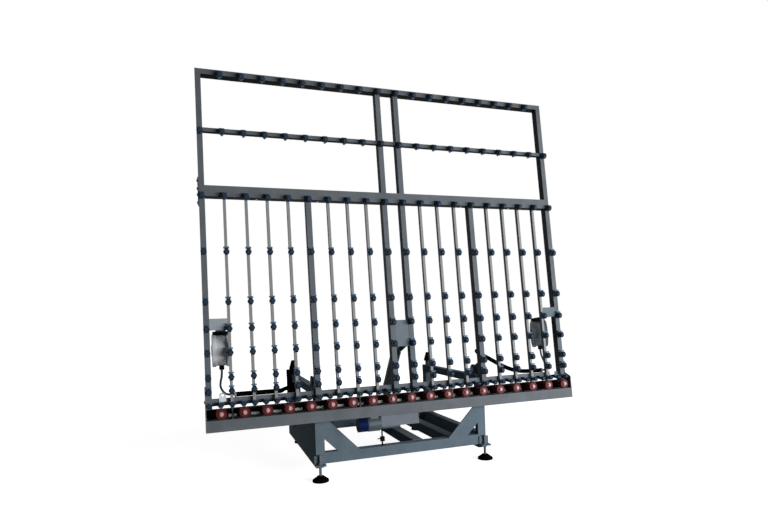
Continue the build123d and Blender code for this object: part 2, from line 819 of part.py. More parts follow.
# Base frame: side beams, legs, upper beams, rear posts, cross beams and inner rails
with BuildPart() as base_frame:
    for side in (-1, 1):
        beam_sides = ordered(side * side_inner, side * base_half_width)
        tube(beam_sides, (leg_front, base_rear), (side_low, side_top), base_wall, "y")
        block(beam_sides, (base_rear - base_wall, base_rear), (side_low, side_top))
        leg_sides = ordered(side * (base_half_width - leg_width), side * base_half_width)
        leg_span = (side_top + weld_gap, upper_beam_low - weld_gap)
        tube(leg_sides, (leg_front, leg_back), leg_span, base_wall, "z")
        upper_span = (upper_beam_low, upper_beam_top)
        tube(beam_sides, (leg_front, rear_post_front - weld_gap), upper_span, base_wall, "y")
        block(beam_sides, (leg_front, leg_front + base_wall), upper_span)
        post_sides = (side * rear_post_at - rear_post_size / 2, side * rear_post_at + rear_post_size / 2)
        post_span = (side_top + weld_gap, rear_post_top)
        tube(post_sides, (rear_post_front, rear_post_back), post_span, base_wall, "z")
        block(post_sides, (rear_post_front, rear_post_back), (rear_post_top - base_wall, rear_post_top))
    cross_span = (front_plate_low, front_plate_low + inner_rail_size)
    cross_sides = mirrored(side_inner - weld_gap)
    tube(cross_sides, (rear_cross_front, rear_cross_back), cross_span, base_wall, "x")
    tube(cross_sides, (leg_front, front_beam_back), (front_plate_low, front_bar_top), base_wall, "x")
    rail_depth = (front_beam_back + weld_gap, rear_cross_front - weld_gap)
    for place in inner_rail_places:
        rail_sides = (place - inner_rail_size / 2, place + inner_rail_size / 2)
        tube(rail_sides, rail_depth, cross_span, base_wall, "y")
save(base_frame.part, "base_frame")

# Plates of the base: cut-out front plate, closing panel on the left and the seat of the tilt cylinder
cylinder_foot = Vector(0, rack_line + cylinder_foot_back, cylinder_foot_height)
seat_low = front_plate_low + inner_rail_size
seat_top = seat_low + mount_plate
with BuildPart() as base_plates:
    with BuildSketch(Plane.XZ.offset(-base_front)):
        gusset_edge = base_half_width - gusset_width
        with BuildLine():
            Polyline(
                (-base_half_width, front_plate_low),
                (base_half_width, front_plate_low),
                (base_half_width, gusset_top),
                (gusset_edge, gusset_top),
                (gusset_edge - gusset_run, front_bar_top),
                (gusset_run - gusset_edge, front_bar_top),
                (-gusset_edge, gusset_top),
                (-base_half_width, gusset_top),
                close=True,
            )
        make_face()
        for side in (-1, 1):
            cutout_edge = base_half_width - cutout_inset
            cutout_low = front_bar_top + cutout_lift
            with BuildLine():
                Polyline(
                    (side * cutout_edge, cutout_low),
                    (side * cutout_edge, cutout_low + cutout_size),
                    (side * (cutout_edge - cutout_size), cutout_low),
                    close=True,
                )
            make_face(mode=Mode.SUBTRACT)
    extrude(amount=-front_plate)
    with BuildSketch(Plane.YZ.offset(-base_half_width)):
        with BuildLine():
            Polyline(
                (leg_back, side_top),
                (leg_back + side_panel_length, side_top),
                (leg_back, side_top + side_panel_height),
                close=True,
            )
        make_face()
    extrude(amount=side_panel)
    seat_sides = (mount_left, inner_rail_places[0] + inner_rail_size / 2)
    seat_depth = (cylinder_foot.Y - mount_length / 2, cylinder_foot.Y + mount_length / 2)
    block(seat_sides, seat_depth, (seat_low, seat_top))
save(base_plates.part, "base_plates")


def lug(inner, thickness, centre, foot, radius, bore):
    # An upright plate with a round head about a pin, from its inner face outwards
    with BuildSketch(Plane.YZ.offset(inner)) as outline:
        with Locations((centre.Y, (centre.Z + foot) / 2)):
            Rectangle(2 * radius, centre.Z - foot)
        with Locations((centre.Y, centre.Z)):
            Circle(radius)
            Circle(bore, mode=Mode.SUBTRACT)
    extrude(outline.sketch, amount=thickness)


# Lugs of the base: two pairs for the tilt hinge and one pair for the cylinder foot
hinge_at = rack_point(0, hinge_height, -post_depth - hinge_back)
hinge_inner = hinge_plate / 2 + hinge_side_gap
clevis_inner = eye_width / 2 + eye_side_gap
with BuildPart() as base_lugs:
    for index in hinge_columns:
        for side in (-1, 1):
            lug_inner = column_at(index) + side * hinge_inner
            lug(lug_inner, side * hinge_lug, hinge_at, upper_beam_top, hinge_lug_radius, hinge_pin_radius)
    for side in (-1, 1):
        lug(side * clevis_inner, side * clevis, cylinder_foot, seat_top, clevis_radius, clevis_pin_radius)
save(base_lugs.part, "base_lugs")


def cross_pin(start, length, centre, radius):
    # A round pin along the width of the trolley
    with BuildSketch(Plane.YZ.offset(start)) as outline:
        with Locations((centre.Y, centre.Z)):
            Circle(radius)
    extrude(outline.sketch, amount=length)


# Hinge pins, pins of the cylinder foot and spindles of the rubber stops
stop_top = hinge_at.Z + hinge_back - stop_gap
stop_low = stop_top - stop_height
stop_back = (rear_post_front + rear_post_back) / 2
with BuildPart() as pins_and_spindles:
    for index in hinge_columns:
        pin_half = hinge_inner + hinge_lug
        cross_pin(column_at(index) - pin_half, 2 * pin_half, hinge_at, hinge_pin_radius)
        for side in (-1, 1):
            collar_start = column_at(index) + side * pin_half
            cross_pin(collar_start, side * pin_collar, hinge_at, pin_collar_radius)
    for side in (-1, 1):
        cross_pin(side * clevis_inner, side * clevis, cylinder_foot, clevis_pin_radius)
        head_radius_foot = clevis_pin_radius + clevis_head
        cross_pin(side * (clevis_inner + clevis), side * clevis_head, cylinder_foot, head_radius_foot)
        with BuildSketch(Plane.XY.offset(rear_post_top)):
            with Locations((side * rear_post_at, stop_back)):
                Circle(spindle_radius)
        extrude(amount=stop_low - rear_post_top)
save(pins_and_spindles.part, "pins_and_spindles")

# Rubber cones that the rack comes to rest on when it lies flat, and the boot that takes the left conduit
with BuildPart() as rubber_stop:
    with BuildSketch(Plane.XZ):
        with BuildLine():
            Polyline(
                (0, stop_low),
                (stop_radius, stop_low),
                (stop_radius, stop_low + stop_rim),
                (stop_tip_radius, stop_top),
                (0, stop_top),
                close=True,
            )
        make_face()
    revolve(axis=Axis.Z)
with BuildPart() as rubber_stops:
    with Locations(*[(place, stop_back, 0) for place in mirrored(rear_post_at)]):
        add(rubber_stop.part)
    boot_sides = (-rear_post_at - boot_half, -rear_post_at + boot_half)
    boot_depth = (boot_face, boot_face + 2 * boot_half)
    block(boot_sides, boot_depth, (upper_beam_top - boot_drop, rear_post_top + boot_rise))
    post_gap = rear_post_size / 2 + cord_gap
    post_sides = (-rear_post_at - post_gap, -rear_post_at + post_gap)
    post_depth_gap = (stop_back - post_gap, stop_back + post_gap)
    block(post_sides, post_depth_gap, (side_top, rear_post_top + cord_gap), mode=Mode.SUBTRACT)
    beam_cut = (-base_half_width - cord_gap, -side_inner + cord_gap)
    beam_span = (upper_beam_low - cord_gap, upper_beam_top + cord_gap)
    block(beam_cut, (boot_face - boot_wall, stop_back), beam_span, mode=Mode.SUBTRACT)
    with Locations((-rear_post_at, stop_back, rear_post_top + boot_rise / 2)):
        Cylinder(spindle_radius + cord_gap, 2 * boot_rise, mode=Mode.SUBTRACT)
save(rubber_stops.part, "rubber_stops")

# Angle brackets with the nuts of the levelling feet
front_foot_x = base_half_width - front_foot_inset
front_foot_y = base_front - foot_forward
front_bracket_low = front_plate_low - front_bracket_drop
rear_foot_x = side_inner - rear_foot_inset
rear_foot_y = base_rear - rear_foot_back
foot_places = {
    "levelling_foot_front_left": (-front_foot_x, front_foot_y),
    "levelling_foot_front_right": (front_foot_x, front_foot_y),
    "levelling_foot_rear_left": (-rear_foot_x, rear_foot_y),
    "levelling_foot_rear_right": (rear_foot_x, rear_foot_y),
}
with BuildPart() as foot_brackets:
    for side in (-1, 1):
        half = foot_bracket_width / 2
        front_sides = (side * front_foot_x - half, side * front_foot_x + half)
        front_high = (front_bracket_low, front_bracket_low + foot_bracket_height)
        front_flat = (front_bracket_low, front_bracket_low + foot_bracket_sheet)
        block(front_sides, (base_front - foot_bracket_sheet, base_front), front_high)
        block(front_sides, (base_front - foot_bracket_reach, base_front), front_flat)
        rear_depth = (rear_foot_y - half, rear_foot_y + half)
        rear_high = (side_low, side_low + foot_bracket_height)
        rear_flat = (side_low, side_low + foot_bracket_sheet)
        block(ordered(side * side_inner, side * (side_inner - foot_bracket_sheet)), rear_depth, rear_high)
        block(ordered(side * side_inner, side * (side_inner - foot_bracket_width)), rear_depth, rear_flat)
    for place_x, place_y in foot_places.values():
        flange_low = front_bracket_low if place_y < 0 else side_low
        with BuildSketch(Plane.XY.offset(flange_low - foot_nut_height)):
            with Locations((place_x, place_y)):
                RegularPolygon(foot_nut_radius, 6)
        extrude(amount=foot_bracket_sheet + 2 * foot_nut_height)
        with BuildSketch(Plane.XY):
            with Locations((place_x, place_y)):
                Circle(foot_screw_radius + running_fit)
        extrude(amount=flange_low + foot_bracket_sheet + foot_nut_height, mode=Mode.SUBTRACT)
save(foot_brackets.part, "foot_brackets")

# Levelling feet: a round pad on a screw
for name, (place_x, place_y) in foot_places.items():
    with BuildPart(Plane(origin=(place_x, place_y, 0))) as levelling_foot:
        with BuildSketch(Plane(origin=(place_x, place_y, 0), x_dir=(1, 0, 0), z_dir=(0, -1, 0))):
            with BuildLine():
                Polyline(
                    (0, 0),
                    (pad_radius, 0),
                    (pad_radius, pad_rim),
                    (pad_neck, pad_height),
                    (foot_screw_radius, pad_height),
                    (foot_screw_radius, pad_height + foot_screw_length),
                    (0, pad_height + foot_screw_length),
                    close=True,
                )
            make_face()
        revolve(axis=Axis((place_x, place_y, 0), (0, 0, 1)))
    save(levelling_foot.part, name)

# Limit switch that feels the rack standing upright
with BuildPart() as limit_switch:
    with BuildSketch(Plane.XY.offset(front_bar_top)):
        with Locations((switch_place, base_front + front_plate / 2)):
            Circle(switch_rod_radius)
    extrude(amount=switch_rod_height)
    box_low = front_bar_top + switch_box_lift
    box_sides = (switch_place - switch_box[0] / 2, switch_place + switch_box[0] / 2)
    box_depth = (base_front - switch_box[1] / 2, base_front + switch_box[1] / 2)
    block(box_sides, box_depth, (box_low, box_low + switch_box[2]))
    lever_low = box_low + switch_box[2] / 2
    lever_sides = (box_sides[0] - switch_lever, box_sides[0])
    lever_depth = (base_front - lever_sheet, base_front + lever_sheet)
    block(lever_sides, lever_depth, (lever_low, lever_low + 2 * lever_sheet))
save(limit_switch.part, "limit_switch")

# Tilt cylinder: the barrel hangs on the rack, its rod stands on the base
cylinder_head = rack_point(0, cylinder_height, cylinder_out)
cylinder_length = (cylinder_foot - cylinder_head).length
cylinder_axis = Plane(origin=cylinder_head, x_dir=(1, 0, 0), z_dir=cylinder_foot - cylinder_head)
with BuildPart(cylinder_axis) as cylinder_barrel:
    Cylinder(eye_radius, eye_width, rotation=(0, 90, 0))
    with BuildSketch(cylinder_axis):
        Circle(rod_radius)
    extrude(amount=barrel_start)
    with BuildSketch(cylinder_axis.offset(barrel_start)):
        Circle(barrel_radius)
    extrude(amount=barrel_end - barrel_start)
    with BuildSketch(cylinder_axis.offset(barrel_start + gland_length)):
        Circle(barrel_bore + piston_fit)
    extrude(amount=barrel_end - barrel_start - 2 * gland_length, mode=Mode.SUBTRACT)
    with BuildSketch(cylinder_axis.offset(barrel_end - gland_length)):
        Circle(rod_radius + piston_fit)
    extrude(amount=gland_length, mode=Mode.SUBTRACT)
    Cylinder(clevis_pin_radius + running_fit, eye_width, rotation=(0, 90, 0), mode=Mode.SUBTRACT)
save(cylinder_barrel.part, "cylinder_barrel")

piston_end = barrel_end - gland_length - piston_gap
with BuildPart(cylinder_axis) as cylinder_rod:
    with BuildSketch(cylinder_axis.offset(piston_end - piston_length)):
        Circle(barrel_bore)
    extrude(amount=piston_length)
    with BuildSketch(cylinder_axis.offset(piston_end)):
        Circle(rod_radius)
    extrude(amount=cylinder_length - piston_end)
    with Locations((0, 0, cylinder_length)):
        Cylinder(eye_radius, eye_width, rotation=(0, 90, 0))
save(cylinder_rod.part, "cylinder_rod")

print("tilt hinge", hinge_at, "cylinder head", cylinder_head, "cylinder foot", cylinder_foot)
print("rack line", rack_line, "roller height", roller_height, "low row", low_row, "conduit", conduit_height)
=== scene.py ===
import bpy
import json
import math
from mathutils import Matrix, Vector


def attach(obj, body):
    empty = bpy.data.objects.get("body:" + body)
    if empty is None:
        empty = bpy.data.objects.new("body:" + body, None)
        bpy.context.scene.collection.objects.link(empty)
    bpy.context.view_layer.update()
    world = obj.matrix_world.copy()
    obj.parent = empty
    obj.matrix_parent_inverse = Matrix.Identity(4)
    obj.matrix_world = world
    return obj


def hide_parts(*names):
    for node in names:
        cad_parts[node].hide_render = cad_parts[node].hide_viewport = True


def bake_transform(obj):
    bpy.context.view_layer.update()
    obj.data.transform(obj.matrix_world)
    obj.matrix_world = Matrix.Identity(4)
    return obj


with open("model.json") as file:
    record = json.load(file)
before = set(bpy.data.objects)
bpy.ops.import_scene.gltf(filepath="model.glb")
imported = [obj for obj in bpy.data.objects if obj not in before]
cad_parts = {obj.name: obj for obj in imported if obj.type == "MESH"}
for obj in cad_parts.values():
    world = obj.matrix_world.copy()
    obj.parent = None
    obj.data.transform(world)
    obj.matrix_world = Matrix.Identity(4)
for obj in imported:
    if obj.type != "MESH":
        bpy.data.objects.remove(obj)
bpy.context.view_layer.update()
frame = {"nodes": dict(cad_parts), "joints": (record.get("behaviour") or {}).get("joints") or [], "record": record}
nodes = frame["nodes"]
print("stage: frame loaded,", len(nodes), "nodes")

# The rack plane: across the shelf, up the rack and out of its front face, in millimetres
rackSettings = {
    "leanDegrees": 5.5, "lineMm": -673.929, "columns": 20, "pitchMm": 150.0, "rollerHeightMm": 565.0}
leanSin = math.sin(math.radians(rackSettings["leanDegrees"]))
leanCos = math.cos(math.radians(rackSettings["leanDegrees"]))
rackAcross = Vector((1.0, 0.0, 0.0))
rackNormal = Vector((0.0, -leanCos, leanSin))
rackUp = Vector((0.0, leanSin, leanCos))
floorUp = Vector((0.0, 0.0, 1.0))


def rackPoint(across, up, out):
    back = rackSettings["lineMm"] + up * leanSin - out * leanCos
    return Vector((across, back, up * leanCos + out * leanSin)) / 1000.0


def basePoint(across, back, up):
    return Vector((across, rackSettings["lineMm"] + back, up)) / 1000.0


def placeAt(spot, first, second, third):
    return Matrix.Translation(spot) @ Matrix((first, second, third)).transposed().to_4x4()


def columnAcross(index):
    return (index - (rackSettings["columns"] - 1) / 2.0) * rackSettings["pitchMm"]


def perMetre(sizeMm):
    return 1000.0 / sizeMm


def linearColour(hexText):
    channels = []
    for start in (0, 2, 4):
        value = int(hexText.lstrip("#")[start:start + 2], 16) / 255.0
        channels.append(value / 12.92 if value <= 0.04045 else ((value + 0.055) / 1.055) ** 2.4)
    return (*channels, 1.0)


def addNode(tree, kind, settings=None, plugs=None):
    node = tree.nodes.new(kind)
    for name, value in (settings or {}).items():
        if name == "ramp":
            for index, (place, tone) in enumerate(value):
                stop = node.color_ramp.elements[index] if index < 2 else node.color_ramp.elements.new(place)
                stop.position = place
                stop.color = linearColour(tone)
        else:
            setattr(node, name, value)
    for name, value in (plugs or {}).items():
        if isinstance(value, bpy.types.NodeSocket):
            tree.links.new(value, node.inputs[name])
        else:
            node.inputs[name].default_value = value
    return node


def startMaterial(name):
    material = bpy.data.materials.new(name)
    material.use_nodes = True
    tree = material.node_tree
    tree.nodes.clear()
    place = addNode(tree, "ShaderNodeTexCoord").outputs["Object"]
    return material, tree, place


def endMaterial(tree, plugs):
    shader = addNode(tree, "ShaderNodeBsdfPrincipled", {}, plugs)
    addNode(tree, "ShaderNodeOutputMaterial", {}, {"Surface": shader.outputs["BSDF"]})


def addNoise(tree, place, grainMm, plugs):
    noise = addNode(tree, "ShaderNodeTexNoise", {}, {"Vector": place, "Scale": perMetre(grainMm), **plugs})
    return noise.outputs["Fac"]


def addTones(tree, share, settings, stops):
    ramp = list(zip(stops, (settings["dark"], settings["light"])))
    return addNode(tree, "ShaderNodeValToRGB", {"ramp": ramp}, {"Fac": share}).outputs["Color"]


def addSpan(tree, share, ends):
    # Turns a share between none and one into a value between two ends
    span = addNode(tree, "ShaderNodeMapRange", {}, {"Value": share, "To Min": ends[0], "To Max": ends[1]})
    return span.outputs["Result"]


def addRelief(tree, height, strength, deepMm):
    relief = addNode(tree, "ShaderNodeBump", {}, {
        "Height": height, "Strength": strength, "Distance": deepMm / 1000.0})
    return relief.outputs["Normal"]


def zoneTones(tree, place, colour, zones):
    # Gives each part of a piece that lies between a zone's limits a tone of its own
    covered = 0.0
    for zone in zones:
        mask = 1.0
        for direction, low, high in zone["limits"]:
            along = addNode(tree, "ShaderNodeVectorMath", {"operation": "DOT_PRODUCT"}, {
                0: place, 1: direction})
            inside = addNode(tree, "ShaderNodeMath", {"operation": "COMPARE"}, {
                0: along.outputs["Value"], 1: (low + high) / 2.0, 2: (high - low) / 2.0})
            mask = addNode(tree, "ShaderNodeMath", {"operation": "MULTIPLY"}, {
                0: mask, 1: inside.outputs["Value"]}).outputs["Value"]
        colour = addNode(tree, "ShaderNodeMixRGB", {}, {
            "Fac": mask, "Color1": colour, "Color2": linearColour(zone["tone"])}).outputs["Color"]
        covered = addNode(tree, "ShaderNodeMath", {"operation": "MAXIMUM"}, {
            0: covered, 1: mask}).outputs["Value"]
    return colour, covered


# Sprayed enamel on steel: an even satin skin with faint orange peel and duller, dustier patches
def sprayedEnamel(name, settings):
    material, tree, place = startMaterial(name)
    patches = addNoise(tree, place, settings["patchMm"], {"Detail": 5.0, "Roughness": 0.6})
    colour = addTones(tree, patches, settings, (0.3, 0.7))
    if "zones" in settings:
        colour = zoneTones(tree, place, colour, settings["zones"])[0]
    peel = addNoise(tree, place, settings["peelMm"], {"Detail": 2.0})
    endMaterial(tree, {
        "Base Color": colour, "Roughness": addSpan(tree, patches, settings["gloss"]),
        "Normal": addRelief(tree, peel, strength=0.12, deepMm=0.4),
        "IOR": 1.5, "Specular IOR Level": settings["shine"]})
    return material


# Bare metals: plating crystals or brushing give small changes of tone and gloss
def bareMetal(name, settings):
    material, tree, place = startMaterial(name)
    spread = addNode(tree, "ShaderNodeMapping", {}, {"Vector": place, "Scale": settings["stretch"]})
    grain = addNoise(tree, spread.outputs["Vector"], settings["grainMm"], {"Detail": 4.0})
    colour = addTones(tree, grain, settings, (0.25, 0.75))
    metal = settings["metallic"]
    if "zones" in settings:
        colour, covered = zoneTones(tree, place, colour, settings["zones"])
        metal = addSpan(tree, covered, (metal, 0.0))
    endMaterial(tree, {
        "Base Color": colour, "Roughness": addSpan(tree, grain, settings["gloss"]),
        "Normal": addRelief(tree, grain, strength=settings["relief"], deepMm=0.3),
        "Metallic": metal, "Specular IOR Level": settings["shine"]})
    return material


# Moulded plastic and rubber: a soft sheen, a fine pebbled skin and a little handling dust
def mouldedSkin(name, settings):
    material, tree, place = startMaterial(name)
    dust = addNoise(tree, place, settings["dustMm"], {"Detail": 6.0, "Roughness": 0.65})
    colour = addTones(tree, dust, settings, (0.35, 0.75))
    if "zones" in settings:
        colour = zoneTones(tree, place, colour, settings["zones"])[0]
    pebble = addNode(tree, "ShaderNodeTexVoronoi", {}, {
        "Vector": place, "Scale": perMetre(settings["pebbleMm"])})
    endMaterial(tree, {
        "Base Color": colour, "Roughness": addSpan(tree, dust, settings["gloss"]),
        "Normal": addRelief(tree, pebble.outputs["Distance"], strength=settings["relief"], deepMm=0.3),
        "IOR": 1.48, "Specular IOR Level": settings["shine"]})
    return material


# A turned tread round an axis: a core of one tone, a tread of another and fine turning rings
def treadOnCore(name, settings, centre, axis):
    material, tree, place = startMaterial(name)
    offset = addNode(tree, "ShaderNodeVectorMath", {"operation": "SUBTRACT"}, {0: place, 1: centre})
    across = addNode(tree, "ShaderNodeVectorMath", {"operation": "CROSS_PRODUCT"}, {
        0: offset.outputs["Vector"], 1: axis})
    reach = addNode(tree, "ShaderNodeVectorMath", {"operation": "LENGTH"}, {0: across.outputs["Vector"]})
    share = addNode(tree, "ShaderNodeMath", {"operation": "DIVIDE"}, {
        0: reach.outputs["Value"], 1: settings["radiusMm"] / 1000.0})
    ringTone = addNode(tree, "ShaderNodeValToRGB", {"ramp": settings["rings"]}, {
        "Fac": share.outputs["Value"]})
    dust = addNoise(tree, place, settings["dustMm"], {"Detail": 5.0})
    dusty = addNode(tree, "ShaderNodeHueSaturation", {}, {
        "Color": ringTone.outputs["Color"], "Value": addSpan(tree, dust, settings["shade"])})
    turns = addNode(tree, "ShaderNodeMath", {"operation": "MULTIPLY"}, {
        0: reach.outputs["Value"], 1: math.tau * perMetre(settings["turningMm"])})
    turning = addNode(tree, "ShaderNodeMath", {"operation": "SINE"}, {0: turns.outputs["Value"]})
    endMaterial(tree, {
        "Base Color": dusty.outputs["Color"], "Roughness": addSpan(tree, dust, settings["gloss"]),
        "Normal": addRelief(tree, turning.outputs["Value"], strength=0.15, deepMm=0.3),
        "IOR": 1.5, "Specular IOR Level": settings["shine"]})
    return material


# Zones with a tone of their own: painted shade behind the chain and under the rails, the roller hubs,
# painted light on the plate of the left reel, painted shade on the right reel, and the screws of the feet
zoneWays = {"acrossM": rackAcross, "upM": rackUp, "outM": rackNormal, "aboveFloorM": floorUp}
# Painted shade: near-black bands on the bottom faces of the top rail, the upper bar and the middle rail
railUndersideShade = {"tone": "#0c0d0f", "railsUpM": (2.974, 2.545, 2.074), "halfThickM": 0.001}


def makeZone(tone, **limits):
    # Limits along the rack's own directions or the floor's, counted from the foot of the rack
    foot = rackPoint(0.0, 0.0, 0.0)
    zone = {"tone": tone, "limits": []}
    for name, (low, high) in limits.items():
        start = foot.dot(zoneWays[name])
        zone["limits"].append((zoneWays[name], low + start, high + start))
    return zone


# Painted shade: a near-black band on the carrier face behind the chain, where the rollers shade it
carrierShadeZone = makeZone("#0e0f11", acrossM=(-1.4452, 1.4452), upM=(0.526, 0.596), outM=(-0.001, 0.012))
hubZone = makeZone("#c2a3a3", upM=(0.548, 0.582), outM=(0.045, 0.2))
# Painted light: the left reel's plate paler than the same plate paint elsewhere, standing in for light falling on
# it
leftReelPlateLightZone = makeZone("#a3abb1", acrossM=(-1.42, -1.24), upM=(1.129, 1.211))
# Painted shade: the right reel in a darker grey than the left, standing in for the shade that falls on it
rightReelShadeZone = makeZone("#596267", acrossM=(1.1, 1.6))
screwZone = makeZone("#6f7579", aboveFloorM=(0.0405, 0.3))
railUndersideShadeZones = [
    makeZone(railUndersideShade["tone"], upM=(up - railUndersideShade["halfThickM"], up + railUndersideShade["halfThickM"]))
    for up in railUndersideShade["railsUpM"]]
framePaint = {
    "dark": "#62676c", "light": "#6f757b", "patchMm": 160.0, "peelMm": 5.0,
    "gloss": (0.5, 0.64), "shine": 0.02}

finishes = {
    # two-pack enamel on square tube, grey with a little blue
    "frame_paint": sprayedEnamel("satinEnamelGrey", framePaint),
    # the shelf enamel carries the painted shade behind the chain
    "shelfPaint": sprayedEnamel("satinEnamelShelf", {**framePaint, "zones": [carrierShadeZone]}),
    # the rail enamel carries the painted shade under the rails
    "railPaint": sprayedEnamel("satinEnamelRails", {**framePaint, "zones": railUndersideShadeZones}),
    # the plate enamel carries painted light on the left reel's plate
    "platePaint": sprayedEnamel("satinEnamelPlates", {
        **framePaint, "dark": "#6a757c", "light": "#77828a", "zones": [leftReelPlateLightZone]}),
    # the same enamel in a bluer batch on the base
    "base_paint": sprayedEnamel("satinEnamelSlate", {
        "dark": "#5c6b76", "light": "#697883", "patchMm": 140.0, "peelMm": 5.0,
        "gloss": (0.55, 0.7), "shine": 0.006}),
    # powder coat on folded sheet
    "bracket_blue": sprayedEnamel("powderCoatPaleSlate", {
        "dark": "#3d5f78", "light": "#4c6e87", "patchMm": 40.0, "peelMm": 3.0,
        "gloss": (0.45, 0.6), "shine": 0.2}),
    # painted shade: the forks take the brackets' powder coat as a dark navy copy
    "forkShadedNavy": sprayedEnamel("powderCoatShadedNavy", {
        "dark": "#12293d", "light": "#1a3549", "patchMm": 40.0, "peelMm": 3.0,
        "gloss": (0.5, 0.62), "shine": 0.18}),
    "cap_blue": sprayedEnamel("glossEnamelNavy", {
        "dark": "#071639", "light": "#0b1e46", "patchMm": 60.0, "peelMm": 4.0,
        "gloss": (0.36, 0.48), "shine": 0.03}),
    "cover_grey": sprayedEnamel("powderCoatPaleGrey", {
        "dark": "#69707a", "light": "#767d86", "patchMm": 80.0, "peelMm": 3.0,
        "gloss": (0.48, 0.6), "shine": 0.06}),
    "cylinder_dark": sprayedEnamel("blackEnamel", {
        "dark": "#0b0d0f", "light": "#131618", "patchMm": 90.0, "peelMm": 4.0,
        "gloss": (0.4, 0.52), "shine": 0.2}),
    # zinc plate on machined steel, and the duller drawn metal of the slats
    "zinc": bareMetal("zincPlate", {
        "dark": "#7f847d", "light": "#9a9f98", "grainMm": 6.0, "stretch": (1.0, 1.0, 1.0),
        "gloss": (0.34, 0.48), "relief": 0.08, "metallic": 0.3, "shine": 0.2, "zones": [hubZone]}),
    "bar_metal": bareMetal("drawnBarMetal", {
        "dark": "#8b8c8e", "light": "#9d9ea0", "grainMm": 4.0, "stretch": (1.0, 1.0, 0.06),
        "gloss": (0.46, 0.6), "relief": 0.06, "metallic": 0.0, "shine": 0.04}),
    "chain_steel": bareMetal("oiledChainSteel", {
        "dark": "#1c1c1d", "light": "#303032", "grainMm": 9.0, "stretch": (1.0, 1.0, 1.0),
        "gloss": (0.4, 0.55), "relief": 0.1, "metallic": 0.4, "shine": 0.3}),
    "motor_silver": bareMetal("dieCastAluminium", {
        "dark": "#444e52", "light": "#545e63", "grainMm": 3.0, "stretch": (1.0, 1.0, 1.0),
        "gloss": (0.48, 0.62), "relief": 0.2, "metallic": 0.2, "shine": 0.3}),
    "rod_chrome": bareMetal("hardChrome", {
        "dark": "#c9ccce", "light": "#dddfe0", "grainMm": 4.0, "stretch": (1.0, 0.05, 0.05),
        "gloss": (0.08, 0.14), "relief": 0.02, "metallic": 1.0, "shine": 0.5}),
    # moulded housings, rubber and hoses
    # the reels' pale grey is partly their own moulded grey and partly painted light, lifted against the shade the
    # bars cast on the drums
    "reel_grey": mouldedSkin("mouldedHousingGrey", {
        "dark": "#cfd2d5", "light": "#dcdee0", "dustMm": 60.0, "pebbleMm": 2.5,
        "gloss": (0.45, 0.6), "relief": 0.12, "shine": 0.2, "zones": [rightReelShadeZone]}),
    "holder_white": mouldedSkin("whitePolyethylene", {
        "dark": "#e9ebeb", "light": "#f6f7f7", "dustMm": 30.0, "pebbleMm": 2.5,
        "gloss": (0.4, 0.55), "relief": 0.1, "shine": 0.45}),
    "black_rubber": mouldedSkin("blackRubber", {
        "dark": "#070809", "light": "#101214", "dustMm": 30.0, "pebbleMm": 2.0,
        "gloss": (0.55, 0.72), "relief": 0.15, "shine": 0.0}),
    "foot_black": mouldedSkin("blackNylon", {
        "dark": "#08090a", "light": "#121416", "dustMm": 25.0, "pebbleMm": 2.0,
        "gloss": (0.5, 0.65), "relief": 0.12, "shine": 0.02}),
    "footPad": mouldedSkin("blackNylonOnScrew", {
        "dark": "#070809", "light": "#0f1112", "dustMm": 25.0, "pebbleMm": 2.0,
        "gloss": (0.5, 0.65), "relief": 0.12, "shine": 0.0, "zones": [screwZone]}),
    "hose_green": mouldedSkin("softHoseTeal", {
        "dark": "#123540", "light": "#1a4652", "dustMm": 20.0, "pebbleMm": 1.5,
        "gloss": (0.4, 0.55), "relief": 0.08, "shine": 0.3}),
}
print("stage: finishes,", len(finishes))

# Support wheels: a near-black blue tyre on a paler moulded core
wheelSettings = {
    "radiusMm": 24.0, "dustMm": 35.0, "turningMm": 2.0, "shade": (0.82, 1.12),
    "gloss": (0.45, 0.6), "shine": 0.2,
    "rings": [(0.0, "#1f4a6c"), (0.46, "#1f4a6c"), (0.54, "#0d2032"), (1.0, "#14293c")]}
lowWheelSettings = {**wheelSettings, "radiusMm": 16.0}
# Driven rollers: dark red cast polyurethane on a steel core, the tread darkening towards the rim as painted shade
# of a rounded face
rollerSettings = {
    "radiusMm": 36.0, "dustMm": 50.0, "turningMm": 3.0, "shade": (0.85, 1.12),
    "gloss": (0.4, 0.55), "shine": 0.12,
    "rings": [(0.0, "#8f6f69"), (0.4, "#8f6f69"), (0.46, "#6e2229"), (0.78, "#4d1118"), (1.0, "#400d13")]}

slotOfNode = {part["node"]: part["material_slot"] for part in frame["record"]["subparts"]}
finishOfNode = {
    "shelf_beams": "shelfPaint", "rack_rails": "railPaint", "rack_plates": "platePaint",
    "pins_and_spindles": "chain_steel"}
spinPlace = {}
for joint in frame["joints"]:
    if joint["type"] == "hinge":
        spinPlace[joint["child"]] = (Vector(joint["pos_m"]), joint["axis"])
for name, piece in nodes.items():
    slotName = slotOfNode[name]
    if slotName == "wheel_blue":
        tread = lowWheelSettings if name == "wheel_row_bottom" else wheelSettings
        finish = treadOnCore("mouldedTyre_" + name, tread, *spinPlace[name])
    elif slotName == "roller_red":
        finish = treadOnCore("castPolyurethane_" + name, rollerSettings, *spinPlace[name])
    elif name.startswith("levelling_foot"):
        finish = finishes["footPad"]
    else:
        finish = finishes[finishOfNode.get(name, slotName)]
    piece.data.materials.clear()
    piece.data.materials.append(finish)
print("stage: finishes on the frame")


# Blocks and drums are made along their axes, so an edge or face either follows an axis or does not
shapeTests = {"edgeMm": 0.5, "endNormal": 0.9}


def runsAlong(first, second, axis):
    return abs(getattr(first, axis) - getattr(second, axis)) > shapeTests["edgeMm"] / 1000.0


def liesAhead(point):
    return point.z > shapeTests["edgeMm"] / 1000.0


def closesEnd(face, side):
    return face.normal.x * side > shapeTests["endNormal"]


